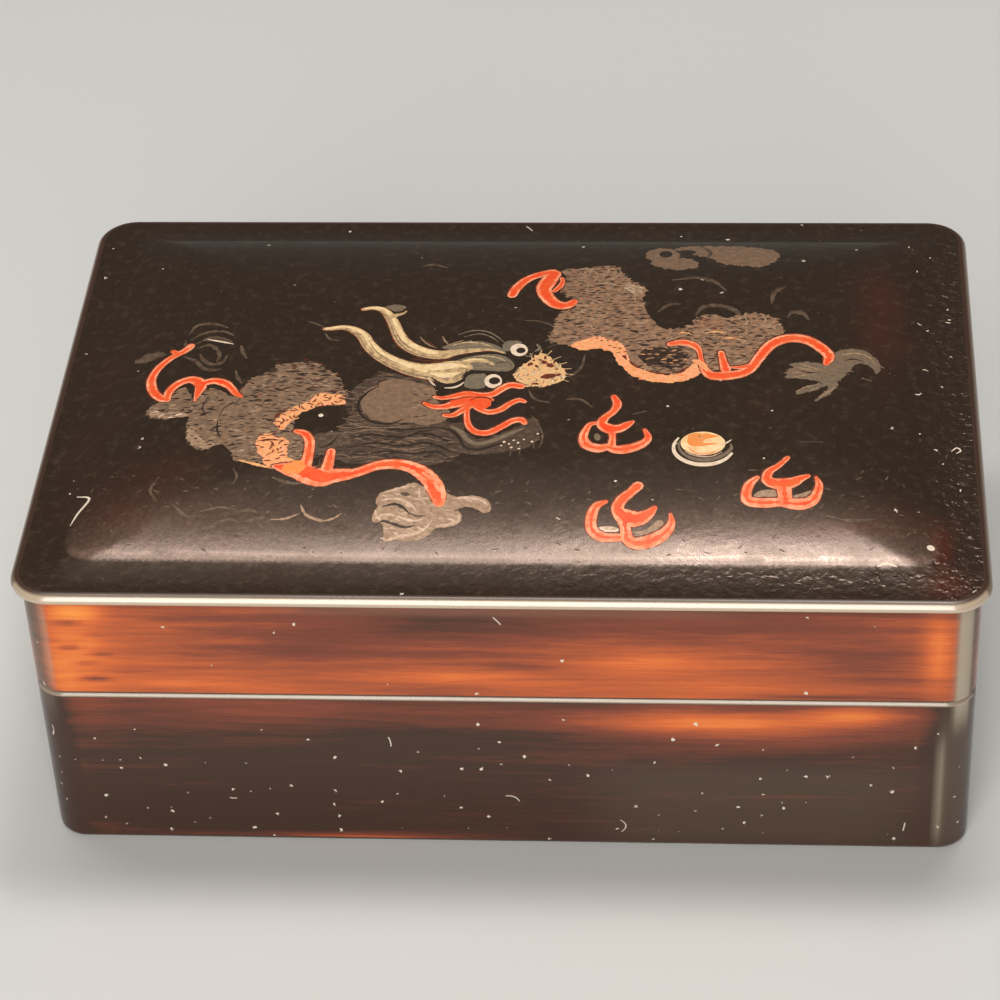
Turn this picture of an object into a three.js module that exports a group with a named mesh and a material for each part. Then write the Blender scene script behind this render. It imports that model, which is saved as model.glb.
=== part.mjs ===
// A rectangular lacquered wood trinket box with a lift-off lid.
// Units are millimetres, +Z is up, +X runs along the long side and +Y away from the front.
// The origin is the centre of the underside.
import * as THREE from "three";

// Plan of the lid's lip, the widest part of the box
const LIP_LENGTH = 150;
const LIP_DEPTH = 101;
const LIP_CORNER = 6.5;

// Lip moulding round the top of the lid's wall
const LIP_OVERHANG = 1.5;
const LIP_THICKNESS = 1.6;
const LIP_EDGE = 0.3; // radius under the lip
const LIP_ROUND_IN = 1.4; // how far the round-over on top of the lip reaches in
const LIP_ROUND_DOWN = 1.25; // and how far it reaches down

// Heights of the two walls
const BASE_HEIGHT = 31.6;
const LID_WALL_HEIGHT = 19.6;

// Top of the lid: a shallow dished border, then a raised cushion panel
const BORDER_WIDTH = 8;
const BORDER_RISE = 0.9;
const CUSHION_RISE = 4.6;
const CUSHION_CORNER = 4.5;
const CUSHION_SOFTNESS = 3.4; // power of the cushion's curve, which sets how steep its foot is
const CUSHION_CORNER_GROWTH = 0.45; // extra corner radius for each millimetre further in
const CUSHION_FLAT = 28; // width left flat in the middle, where the curve has died away

// Thickness of the wood
const WALL = 4;
const FLOOR = 4;
const CEILING = 4.2;
const INNER_CORNER = 1.6;
const COVE = 2.2; // hollow between the walls and the floor or the ceiling

// Lap joint: a tongue on the base stands inside a rebate in the lid
const TONGUE_HEIGHT = 3.6;
const TONGUE_THICKNESS = 1.8;
const TONGUE_CLEARANCE = 0.3;

// Softened edges
const FOOT_EDGE = 0.8;
const BASE_SEAM_EDGE = 0.8;
const LID_SEAM_EDGE = 0.45;
const TONGUE_EDGE = 0.4;

// Fineness of the facets
const CORNER_STEPS = 4; // half the segments in each corner of a plan outline
const ARC_STEPS = 2; // half the segments in each small arc of a section
const CURVE_STEPS = 9; // segments along the cushion's curve
const CURVE_CROWDING = 1.5; // above 1 brings those segments closer together at the steep foot

const seamHeight = BASE_HEIGHT;
const lipUnderside = seamHeight + LID_WALL_HEIGHT;
const lipTop = lipUnderside + LIP_THICKNESS;
const cushionFoot = lipTop + BORDER_RISE;

// Plan outline, as points, at an inset from the lip's outer face.
function planOutline(inset, radius) {
  const x = LIP_LENGTH / 2 - inset;
  const y = LIP_DEPTH / 2 - inset;
  const shape = new THREE.Shape();
  shape.absarc(x - radius, y - radius, radius, 0, Math.PI / 2);
  shape.absarc(radius - x, y - radius, radius, Math.PI / 2, Math.PI);
  shape.absarc(radius - x, radius - y, radius, Math.PI, 1.5 * Math.PI);
  shape.absarc(x - radius, radius - y, radius, 1.5 * Math.PI, 2 * Math.PI);
  return shape.getPoints(CORNER_STEPS);
}

// Corner radius of a wall face, concentric with the lip and never sharper than the inner corner.
function wallCorner(inset) {
  return Math.max(LIP_CORNER - inset, INNER_CORNER);
}

// Corner radius on the lid's top, which tightens across the border and widens again up the cushion.
function topCorner(inset) {
  if (inset > BORDER_WIDTH) {
    return CUSHION_CORNER + CUSHION_CORNER_GROWTH * (inset - BORDER_WIDTH);
  }
  return THREE.MathUtils.lerp(LIP_CORNER, CUSHION_CORNER, inset / BORDER_WIDTH);
}

// Closed solid swept round the plan: each section point is an inset and a height, from the
// middle of one face of the piece, round its rim, to the middle of its other face.
function sweptSolid(section, cornerAt) {
  const rings = section.map(({ x: inset, y: height }, ring) =>
    planOutline(inset, cornerAt(inset, ring)).map((p) => [p.x, p.y, height]),
  );
  const count = rings[0].length;
  const positions = rings.flat(2);
  const indices = [];
  for (let ring = 0; ring + 1 < rings.length; ring += 1) {
    for (let i = 0; i < count; i += 1) {
      const a = ring * count + i;
      const b = ring * count + ((i + 1) % count);
      indices.push(a, b, b + count, a, b + count, a + count);
    }
  }
  const first = rings.length * count;
  const last = first + 1;
  const lastRing = first - count;
  const firstMiddle = [0, 0, section[0].y];
  const lastMiddle = [0, 0, section.at(-1).y];
  positions.push(...firstMiddle, ...lastMiddle);
  for (let i = 0; i < count; i += 1) {
    const next = (i + 1) % count;
    indices.push(first, next, i, last, lastRing + i, lastRing + next);
  }
  const geometry = new THREE.BufferGeometry();
  geometry.setAttribute("position", new THREE.Float32BufferAttribute(positions, 3));
  geometry.setIndex(indices);
  geometry.computeVertexNormals();
  return geometry;
}

// Tray: underside, outer wall, shoulder, tongue, inner wall and floor.
function baseSection() {
  const outer = LIP_OVERHANG;
  const inner = outer + WALL;
  const tongueOuter = inner - TONGUE_THICKNESS;
  const tongueTop = seamHeight + TONGUE_HEIGHT;
  const path = new THREE.Path();
  path.moveTo(outer + FOOT_EDGE, 0);
  path.absarc(outer + FOOT_EDGE, FOOT_EDGE, FOOT_EDGE, 1.5 * Math.PI, Math.PI, true);
  const roundCentre = seamHeight - BASE_SEAM_EDGE;
  path.absarc(outer + BASE_SEAM_EDGE, roundCentre, BASE_SEAM_EDGE, Math.PI, Math.PI / 2, true);
  path.lineTo(tongueOuter, seamHeight);
  path.lineTo(tongueOuter, tongueTop - TONGUE_EDGE);
  path.lineTo(tongueOuter + TONGUE_EDGE, tongueTop);
  path.lineTo(inner - TONGUE_EDGE, tongueTop);
  path.lineTo(inner, tongueTop - TONGUE_EDGE);
  path.absarc(inner + COVE, FLOOR + COVE, COVE, Math.PI, 1.5 * Math.PI);
  return path.getPoints(ARC_STEPS);
}

// Height of the cushion above its foot, at an inset from the lip's outer face.
function cushionHeight(inset) {
  const run = LIP_DEPTH / 2 - BORDER_WIDTH;
  const share = (inset - BORDER_WIDTH) / run;
  return CUSHION_RISE * (1 - (1 - share) ** CUSHION_SOFTNESS);
}

// Insets of the rings up the cushion, closer together at its steep foot.
function cushionInsets() {
  const reach = (LIP_DEPTH - CUSHION_FLAT) / 2 - BORDER_WIDTH;
  return Array.from(
    { length: CURVE_STEPS + 1 },
    (_, i) => BORDER_WIDTH + reach * (i / CURVE_STEPS) ** CURVE_CROWDING,
  );
}

// Ceiling of the lid, from its middle out to the cove: it follows the cushion one thickness below.
function lidCeilingSection() {
  return cushionInsets()
    .filter((inset) => inset > LIP_OVERHANG + WALL + COVE)
    .map((inset) => new THREE.Vector2(inset, lipTop - CEILING + cushionHeight(inset)))
    .reverse();
}

// Lid from the cove down its inner wall and rebate, up its outer wall and round its lip.
function lidWallSection() {
  const roundDown = Math.min(LIP_ROUND_DOWN, LIP_THICKNESS - LIP_EDGE);
  const roundFoot = lipTop - roundDown;
  const outer = LIP_OVERHANG;
  const inner = outer + WALL;
  const rebate = inner - TONGUE_THICKNESS - TONGUE_CLEARANCE;
  const rebateTop = seamHeight + TONGUE_HEIGHT + TONGUE_CLEARANCE;
  const ceiling = lipTop - CEILING;
  const path = new THREE.Path();
  path.moveTo(inner + COVE, ceiling);
  path.absarc(inner + COVE, ceiling - COVE, COVE, Math.PI / 2, Math.PI);
  path.lineTo(inner, rebateTop);
  path.lineTo(rebate, rebateTop);
  path.lineTo(rebate, seamHeight);
  const roundCentre = seamHeight + LID_SEAM_EDGE;
  path.absarc(outer + LID_SEAM_EDGE, roundCentre, LID_SEAM_EDGE, 1.5 * Math.PI, Math.PI, true);
  path.lineTo(outer, lipUnderside);
  path.absarc(LIP_EDGE, lipUnderside + LIP_EDGE, LIP_EDGE, 1.5 * Math.PI, Math.PI, true);
  path.absellipse(LIP_ROUND_IN, roundFoot, LIP_ROUND_IN, roundDown, Math.PI, Math.PI / 2, true);
  return path.getPoints(2 * ARC_STEPS);
}

// Top of the lid from the lip across the dished border and up the cushion.
function lidTopSection() {
  const border = new THREE.QuadraticBezierCurve(
    new THREE.Vector2(LIP_ROUND_IN, lipTop),
    new THREE.Vector2((BORDER_WIDTH + LIP_ROUND_IN) / 2, lipTop),
    new THREE.Vector2(BORDER_WIDTH, cushionFoot),
  );
  const cushion = cushionInsets().map(
    (inset) => new THREE.Vector2(inset, cushionFoot + cushionHeight(inset)),
  );
  return [...border.getPoints(2 * ARC_STEPS).slice(1), ...cushion.slice(1)];
}

function baseGeometry() {
  return sweptSolid(baseSection(), wallCorner);
}

// The lid's top and its walls have their own corner radii, so each ring carries its own.
function lidGeometry() {
  const ceiling = lidCeilingSection();
  const wall = lidWallSection();
  const top = lidTopSection();
  const radii = [
    ...ceiling.map((p) => topCorner(p.x)),
    ...wall.map((p) => wallCorner(p.x)),
    ...top.map((p) => topCorner(p.x)),
  ];
  return sweptSolid([...ceiling, ...wall, ...top], (_, ring) => radii[ring]);
}

function lacquer(name, color, roughness) {
  return new THREE.MeshStandardMaterial({ name, color, roughness, metalness: 0 });
}

const blackBrownLacquer = lacquer("black-brown lacquer", 0x2a1a14, 0.18);
const amberBrownLacquer = lacquer("amber-brown lacquer", 0x5a2a18, 0.2);

const base = new THREE.Mesh(baseGeometry(), amberBrownLacquer);
base.name = "box_base";

const lid = new THREE.Mesh(lidGeometry(), blackBrownLacquer);
lid.name = "box_lid";

const trinketBox = new THREE.Group();
trinketBox.add(base, lid);

export default trinketBox;
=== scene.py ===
import math
import random

import bpy
import numpy as np
from mathutils import Matrix, Vector
from mathutils.geometry import delaunay_2d_cdt


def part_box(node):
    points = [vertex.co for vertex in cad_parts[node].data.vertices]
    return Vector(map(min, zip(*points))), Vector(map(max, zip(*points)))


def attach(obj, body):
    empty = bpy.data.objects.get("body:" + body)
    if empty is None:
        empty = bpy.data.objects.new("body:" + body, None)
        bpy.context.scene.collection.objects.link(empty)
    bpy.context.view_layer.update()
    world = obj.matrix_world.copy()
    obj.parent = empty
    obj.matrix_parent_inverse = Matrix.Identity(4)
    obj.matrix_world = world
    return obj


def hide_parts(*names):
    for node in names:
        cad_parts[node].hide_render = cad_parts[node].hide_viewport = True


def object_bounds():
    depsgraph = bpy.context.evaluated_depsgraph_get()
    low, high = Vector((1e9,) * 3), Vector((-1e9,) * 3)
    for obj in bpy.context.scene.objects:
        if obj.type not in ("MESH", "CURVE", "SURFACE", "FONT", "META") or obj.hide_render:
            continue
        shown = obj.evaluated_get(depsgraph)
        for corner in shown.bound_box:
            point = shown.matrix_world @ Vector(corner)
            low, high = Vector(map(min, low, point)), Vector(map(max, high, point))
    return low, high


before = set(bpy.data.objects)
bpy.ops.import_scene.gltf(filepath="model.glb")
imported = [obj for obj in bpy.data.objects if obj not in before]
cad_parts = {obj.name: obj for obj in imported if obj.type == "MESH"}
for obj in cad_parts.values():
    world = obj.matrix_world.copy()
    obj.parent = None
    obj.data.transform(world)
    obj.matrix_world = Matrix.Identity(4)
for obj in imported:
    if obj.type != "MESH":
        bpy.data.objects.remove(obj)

bl_info = {
    "name": "Lacquer trinket box",
    "version": (1, 0, 0),
    "blender": (4, 5, 0),
    "location": "3D View > Sidebar > Lacquer box",
    "description": "Makes a lacquered wood trinket box with a dragon painted on its lid",
    "category": "Object",
}

MM = 0.001
CAD_LOW, CAD_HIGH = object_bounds()
_, BASE_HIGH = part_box("box_base")
LID_LOW, LID_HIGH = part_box("box_lid")
BODY = "root"

# Fineness of the meshes
CORNER_STEPS = 12
LONG_SIDE_STEPS = 104
SHORT_SIDE_STEPS = 60
EDGE_STEPS = 6
WALL_STEPS = 34
STROKE_STEP = 0.42  # millimetres between the points of a painted outline
GRID_STEP = 1.7  # millimetres between the points of bare lacquer
RING_STEP = 1.1  # and between them along the rings of the border
CLEAR_OF_STROKES = 0.4  # cell size, in millimetres, that bare points keep off the strokes
CEILING_RINGS = 12

# Paint strokes, in millimetres
RIM = 0.17  # width of the dark rim round a red stroke
LEAST_HALF_WIDTH = 0.05
ROUND_END_FROM = 0.22  # half width from which a stroke's ends are round

# The lid's ceiling
CEILING_REACH = 0.72  # how far in it follows the cushion, as a share of the half depth
CEILING_SPREAD = 1.4  # above 1, its rings lie closer together near the walls

# The camera, fitted to the photograph's view
CAMERA_PLACE = (37.05, -429.0, 384.17)  # millimetres
CAMERA_TURN = (-5.335, 39.331, -2.952)  # degrees to the right, down, and round its own axis
CAMERA_LENS = 120.48  # millimetres, for a picture 36 mm wide
FLOOR_REACH = 6  # metres from the middle


def colour(name, text, red, green, blue):
    """A colour setting, given as the 0 to 255 levels seen on a screen."""
    levels = [((c / 255 + 0.055) / 1.055) ** 2.4 for c in (red, green, blue)]
    return bpy.props.FloatVectorProperty(
        name=name, description=text, default=levels, min=0, max=1, size=3, subtype="COLOR"
    )


def length(name, text, millimetres):
    """A size setting, given in millimetres."""
    return bpy.props.FloatProperty(
        name=name, description=text, default=millimetres * MM, min=0, unit="LENGTH"
    )


def power(name, text, watts):
    """The power setting of a light panel."""
    return bpy.props.FloatProperty(name=name, description=text, default=watts, min=0, unit="POWER")


class LacquerBoxSizes(bpy.types.PropertyGroup):
    """Sizes of the box that the frame's own extents don't give"""

    lip_corner: length("Lip corner", "Radius of the lip's corners in plan", 6.5)
    lip_edge: length("Lip edge", "Radius under the lip", 0.3)
    lip_round_in: length("Lip round-over in", "How far the lip's round-over reaches in", 1.4)
    lip_round_down: length("Lip round-over down", "How far it reaches down", 1.25)
    lip_thickness: length("Lip thickness", "Height of the lip", 1.6)
    border_width: length("Border width", "Width of the dished border", 8)
    border_rise: length("Border rise", "Rise of the border to the cushion's foot", 0.9)
    cushion_corner: length("Cushion corner", "Corner radius at the cushion's foot", 4.5)
    cushion_softness: bpy.props.FloatProperty(
        name="Cushion softness", description="Power of the cushion's curve", default=3.4, min=1
    )
    cushion_corner_growth: bpy.props.FloatProperty(
        name="Corner growth", description="Extra corner radius per unit further in", default=0.45
    )
    wall: length("Wall", "Thickness of the walls", 4)
    floor: length("Floor", "Thickness of the floor", 4)
    ceiling: length("Ceiling", "Thickness of the lid's top", 4.2)
    inner_corner: length("Inner corner", "Radius of the inside corners", 1.6)
    cove: length("Cove", "Hollow where the walls meet the floor or the ceiling", 2.2)
    tongue_height: length("Tongue height", "Height of the lap joint", 3.6)
    tongue_thickness: length("Tongue thickness", "Thickness of the base's tongue", 1.8)
    tongue_clearance: length("Tongue clearance", "Room round the tongue", 0.3)
    foot_edge: length("Foot edge", "Radius round the underside", 0.8)
    base_seam_edge: length("Base seam edge", "Radius of the base's top edge", 0.8)
    lid_seam_edge: length("Lid seam edge", "Radius of the lid's lower edge", 0.45)
    tongue_edge: length("Tongue edge", "Radius of the tongue's edges", 0.4)
    inner_edge: length("Inner edge", "Radius of the hidden edges of the joint", 0.15)


class LacquerBoxColours(bpy.types.PropertyGroup):
    """Colours of the lacquer and of the painting"""

    black_lacquer: colour("Black lacquer", "Top coat of the lid", 43, 33, 24)
    red_lacquer: colour("Red lacquer", "Ground that shows where the lid is rubbed", 72, 36, 28)
    dark_wall: colour("Dark wall", "Dark lacquer left on the walls", 60, 41, 32)
    russet_wall: colour("Russet wall", "Lacquer of middling wear on the walls", 122, 62, 45)
    amber_wall: colour("Amber wall", "Clear lacquer over bare wood", 202, 100, 50)
    gold_wall: colour("Gold wall", "Wood that shines through the thinnest lacquer", 238, 148, 66)
    # This colour is partly greyed lacquer and partly a painted reflection down the corners.
    bloom: colour("Bloom", "Greyed lacquer on the corners", 168, 158, 140)
    worn_edge: colour("Worn edge", "Lacquer worn thin on the edges", 66, 45, 34)
    # This colour is a painted highlight on the front lip and seam, partly edges rubbed pale.
    pale_edge: colour("Pale edge", "Edges rubbed down to pale ground", 178, 160, 138)
    # Haze is partly scuff marks and partly a painted highlight along the front of the cushion.
    haze: colour("Haze", "Scuffed lacquer along the front of the lid", 132, 106, 94)
    inside: colour("Inside", "Plain lacquer inside the box", 44, 25, 19)
    vermilion: colour("Vermilion", "Red of the limbs and flames", 226, 96, 47)
    scarlet: colour("Scarlet", "Deeper red in the middle of a stroke", 236, 68, 26)
    salmon: colour("Salmon", "Paler red along a stroke's edges", 248, 170, 132)
    rust: colour("Rust", "Dark red shadow round the red strokes", 104, 32, 20)
    gold: colour("Gold", "Orange of the belly plates", 222, 148, 88)
    pale_gold: colour("Pale gold", "Cream on the belly plates", 240, 184, 128)
    tan: colour("Tan", "Brown shading on the horns and the brow", 150, 122, 92)
    pale_horn: colour("Pale horn", "Light side of the horns", 240, 214, 166)
    mane: colour("Mane", "Dark grey wash under the mane", 84, 70, 58)
    cheek: colour("Cheek", "Warm grey of the cheek", 110, 88, 72)
    brow: colour("Brow", "Green-grey of the brow", 104, 98, 84)
    horn: colour("Horn", "Cream of the horns", 214, 182, 134)
    bone: colour("Bone", "White of the eyes", 230, 213, 190)
    powder: colour("Powder", "Brown-grey of the scales", 138, 109, 85)
    warm_powder: colour("Warm powder", "Browner scales of the right coil", 158, 117, 88)
    pale_powder: colour("Pale powder", "Grains that catch the light", 172, 144, 118)
    dark_powder: colour("Dark powder", "Shadow between the scales", 66, 48, 38)
    hair: colour("Hair", "Grey of the mane", 106, 88, 74)
    claw: colour("Claw", "Beige of the front claw", 170, 142, 118)
    pale_claw: colour("Pale claw", "Light edges of the front claw", 212, 184, 160)
    olive: colour("Olive", "Grey-olive of the brow and the rear claw", 122, 108, 88)
    snuff: colour("Snuff", "Red-brown spots", 96, 48, 28)
    pearl: colour("Pearl", "Cream of the pearl", 230, 182, 126)
    pearl_glow: colour("Pearl glow", "Orange side of the pearl", 238, 132, 52)
    ink: colour("Ink", "Black line work", 28, 18, 13)
    mist: colour("Mist", "Faint grey curls", 104, 88, 72)
    dust: colour("Dust", "Dust and lint", 214, 204, 190)
    floor: colour("Floor", "Studio floor", 204, 207, 208)


class LacquerBoxStudio(bpy.types.PropertyGroup):
    """Lights of the studio"""

    overhead: power("Overhead", "Power of the overhead panel", 3.6)
    haze: power("Haze", "Power of the dim panel behind the overhead", 0.4)
    crest: power("Crest", "Power of the strip that lights the cushion's foot", 1.4)
    front: power("Front", "Power of the tall panel behind the camera", 14)
    room: bpy.props.FloatProperty(
        name="Room", description="Brightness of the room all round", default=0.13, min=0
    )


class Box:
    """The sizes of the box in millimetres, from the frame and from the settings."""

    def __init__(self, sizes):
        for name in LacquerBoxSizes.__annotations__:
            value = getattr(sizes, name)
            shape = name in ("cushion_softness", "cushion_corner_growth")
            setattr(self, name, value if shape else value / MM)
        self.half_length = CAD_HIGH.x / MM
        self.half_depth = CAD_HIGH.y / MM
        self.overhang = (LID_HIGH.x - BASE_HIGH.x) / MM
        self.seam = LID_LOW.z / MM
        self.top = LID_HIGH.z / MM
        self.inner = self.overhang + self.wall
        self.tongue_outer = self.inner - self.tongue_thickness
        self.tongue_top = self.seam + self.tongue_height
        self.lip_top = lip_height()
        self.lip_underside = self.lip_top - self.lip_thickness
        self.cushion_foot = self.lip_top + self.border_rise
        self.cushion_rise = self.top - self.cushion_foot
        self.run = self.half_depth - self.border_width

    def wall_corner(self, inset):
        """Corner radius of a wall face at an inset from the lip."""
        return max(self.lip_corner - inset, self.inner_corner)

    def top_corner(self, inset):
        """Corner radius on the lid's top at an inset from the lip."""
        if inset > self.border_width:
            growth = self.cushion_corner_growth * (inset - self.border_width)
            return self.cushion_corner + growth
        share = inset / self.border_width
        return self.lip_corner + share * (self.cushion_corner - self.lip_corner)

    def ring(self, inset, radius):
        """Plan outline at an inset, anticlockwise from the middle of the back's left corner."""
        x = self.half_length - inset - radius
        y = self.half_depth - inset - radius
        corners = []
        for quarter, (cx, cy) in enumerate([(-x, y), (-x, -y), (x, -y), (x, y)]):
            turn = np.radians(90 + 90 * quarter + np.linspace(0, 90, CORNER_STEPS + 1))
            corners.append(np.stack([cx + radius * np.cos(turn), cy + radius * np.sin(turn)], 1))
        outline = []
        for i, corner in enumerate(corners):
            steps = LONG_SIDE_STEPS if i % 2 else SHORT_SIDE_STEPS
            outline += [corner, between(corner[-1], corners[(i + 1) % 4][0], steps)[1:]]
        return np.roll(np.concatenate(outline), -(CORNER_STEPS // 2), axis=0)

    def inset_at(self, x, y):
        """Inset of the ring of the lid's top that passes through each point."""
        u, v = np.abs(x), np.abs(y)
        inset = np.minimum(self.half_length - u, self.half_depth - v)
        growth = self.cushion_corner_growth
        start = self.cushion_corner - growth * self.border_width
        inset = self.corner_inset(u, v, inset, start, growth, False)
        tightening = (self.cushion_corner - self.lip_corner) / self.border_width
        return self.corner_inset(u, v, inset, self.lip_corner, tightening, True)

    def corner_inset(self, u, v, inset, start, growth, in_border):
        """The inset, solved where a ring's corner of radius start + growth * inset passes."""
        p = u - self.half_length + start
        q = v - self.half_depth + start
        a = 2 * (1 + growth) ** 2 - growth**2
        b = 2 * ((1 + growth) * (p + q) - start * growth)
        c = p**2 + q**2 - start**2
        found = (-b + np.sqrt(np.maximum(b * b - 4 * a * c, 0))) / (2 * a)
        in_corner = (p + (1 + growth) * found > 0) & (q + (1 + growth) * found > 0)
        in_zone = (found <= self.border_width) == in_border
        return np.where(in_corner & in_zone, found, inset)

    def top_height(self, x, y):
        """Height of the lid's top at each point of the plan."""
        inset = self.inset_at(x, y)
        reach = self.border_width - self.lip_round_in
        across = np.clip((inset - self.lip_round_in) / reach, 0, 1)
        up = np.clip((inset - self.border_width) / self.run, 0, 1)
        cushion = self.cushion_rise * (1 - (1 - up) ** self.cushion_softness)
        return self.lip_top + self.border_rise * across**2 + cushion

    def top_normals(self, x, y):
        """Exact normals of the lid's top."""
        step = 0.06
        slope_x = (self.top_height(x + step, y) - self.top_height(x - step, y)) / (2 * step)
        slope_y = (self.top_height(x, y + step) - self.top_height(x, y - step)) / (2 * step)
        normals = np.stack([-slope_x, -slope_y, np.ones(len(x))], 1)
        return normals / np.linalg.norm(normals, axis=1)[:, None]


def lip_height():
    """Height of the lip's top, the level of the frame's vertices on the lid's outer edge."""
    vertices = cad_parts["box_lid"].data.vertices
    return max(v.co.z for v in vertices if v.co.x > LID_HIGH.x - 2 * MM) / MM


def between(start, end, steps):
    """Evenly spaced points from start up to, and without, end."""
    shares = np.arange(steps) / steps
    return start + shares[:, None] * (end - start)


def measured(ring):
    """A ring closed by its first point, and the length run up to each of its points."""
    closed = np.vstack([ring, ring[:1]])
    steps = np.linalg.norm(np.diff(closed, axis=0), axis=1)
    return closed, np.concatenate([[0], np.cumsum(steps)])


def arc(x, z, radius_x, radius_z, start, end, steps=EDGE_STEPS):
    """Points of an arc of a section, by its angles in degrees."""
    turn = np.radians(np.linspace(start, end, steps + 1))
    return [(x + radius_x * math.cos(t), z + radius_z * math.sin(t)) for t in turn]


def line(start, end, steps=1):
    """Points of a straight run of a section, without its start."""
    return [
        (start[0] + (end[0] - start[0]) * i / steps, start[1] + (end[1] - start[1]) * i / steps)
        for i in range(1, steps + 1)
    ]


class Shell:
    """Vertices, faces and surface coordinates of one piece, in millimetres."""

    def __init__(self, box):
        self.box = box
        self.vertices = []
        self.faces = []
        self.sheet = []
        self.surfaces = []
        outline = box.ring(box.overhang, box.wall_corner(box.overhang))
        _, along = measured(outline)
        front = np.argmin(np.abs(outline[:, 0]) + outline[:, 1])
        self.along = along - along[front]

    def sweep(self, section, corner):
        """Bands swept round the plan. Section rows are an inset, a height and the surface before it."""
        rings = [self.box.ring(inset, corner(inset)) for inset, _, _ in section]
        count = len(rings[0])
        first = len(self.vertices)
        for ring, (_, height, _) in zip(rings, section):
            self.vertices += [(x, y, height) for x, y in ring]
        for r in range(len(section) - 1):
            low, high = section[r][1], section[r + 1][1]
            for i in range(count):
                j = (i + 1) % count
                a, b = first + r * count + i, first + r * count + j
                self.faces.append((a, b, b + count, a + count))
                here, there = self.along[i], self.along[i + 1]
                self.sheet += [(here, low, 0), (there, low, 0), (there, high, 0), (here, high, 0)]
                self.surfaces.append(section[r + 1][2])
        return first, first + (len(section) - 1) * count, count

    def add_flat(self, face, surface):
        """A face whose surface coordinates are its places on the plan."""
        self.faces.append(face)
        self.sheet += [(*self.vertices[v][:2], 0) for v in face]
        self.surfaces.append(surface)

    def join(self, ring_a, ring_b, count, surface):
        """A band between two rings that are already there."""
        for i in range(count):
            j = (i + 1) % count
            self.add_flat((ring_a + i, ring_a + j, ring_b + j, ring_b + i), surface)

    def cap(self, ring, count, height, surface, turned):
        """A fan that closes a ring at its middle."""
        middle = len(self.vertices)
        self.vertices.append((0, 0, height))
        for i in range(count):
            j = (i + 1) % count
            face = (middle, ring + j, ring + i) if turned else (middle, ring + i, ring + j)
            self.add_flat(face, surface)

    def weighted_normals(self):
        """Vertex normals, each face counted by its area, so that flat faces stay flat."""
        places = np.array(self.vertices)
        normals = np.zeros_like(places)
        for size in (3, 4):
            rows = np.array([face for face in self.faces if len(face) == size])
            across = places[rows[:, 2]] - places[rows[:, 0]]
            other = places[rows[:, -1]] - places[rows[:, 1]]
            area = np.cross(across, other)
            for k in range(size):
                np.add.at(normals, rows[:, k], area)
        return normals / np.maximum(np.linalg.norm(normals, axis=1), 1e-9)[:, None]

    def make(self, name, materials, normals, wear, bloom):
        """The finished object, with its materials, normals and surface attributes."""
        mesh = bpy.data.meshes.new(name)
        places = np.array(self.vertices) * MM
        mesh.from_pydata([tuple(v) for v in places], [], self.faces)
        slots = list(materials)
        for key in slots:
            mesh.materials.append(materials[key])
        index = [slots.index(s) for s in self.surfaces]
        mesh.polygons.foreach_set("material_index", index)
        mesh.polygons.foreach_set("use_smooth", [True] * len(index))
        sheet = mesh.attributes.new("sheet", "FLOAT_VECTOR", "CORNER")
        sheet.data.foreach_set("vector", np.array(self.sheet, np.float32).ravel())
        for key, values in (("wear", wear), ("bloom", bloom)):
            made = mesh.attributes.new(key, "FLOAT", "POINT")
            made.data.foreach_set("value", np.array(values, np.float32))
        mesh.normals_split_custom_set_from_vertices([tuple(n) for n in normals])
        mesh.update()
        piece = bpy.data.objects.new(name, mesh)
        bpy.context.scene.collection.objects.link(piece)
        return piece


# Sections of the two pieces


def labelled(*parts):
    """A section from parts, each a surface and its points; a repeated point is left out."""
    section = []
    for surface, points in parts:
        for x, z in points:
            if not section or math.dist(section[-1][:2], (x, z)) > 1e-4:
                section.append((x, z, surface))
    return section


def base_section(box):
    """The tray: underside, outer wall, shoulder, tongue, inner wall and cove."""
    out, inner, tongue = box.overhang, box.inner, box.tongue_outer
    foot, seam_edge, edge = box.foot_edge, box.base_seam_edge, box.tongue_edge
    small, cove = box.inner_edge, box.cove
    wall_top = box.seam - seam_edge
    return labelled(
        ("underside", [(out + 3 * foot, 0)]),
        ("edge", arc(out + foot, foot, foot, foot, 270, 180)),
        ("wall", line((out, foot), (out, wall_top), WALL_STEPS)),
        ("edge", arc(out + seam_edge, wall_top, seam_edge, seam_edge, 180, 90)),
        ("inside", arc(tongue - small, box.seam + small, small, small, 270, 360, 3)),
        ("inside", arc(tongue + edge, box.tongue_top - edge, edge, edge, 180, 90)),
        ("inside", arc(inner - edge, box.tongue_top - edge, edge, edge, 90, 0)),
        ("inside", line((inner, box.tongue_top - edge), (inner, box.floor + cove), 6)),
        ("inside", arc(inner + cove, box.floor + cove, cove, cove, 180, 270)),
        ("inside", [(inner + 3 * cove, box.floor)]),
    )


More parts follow.
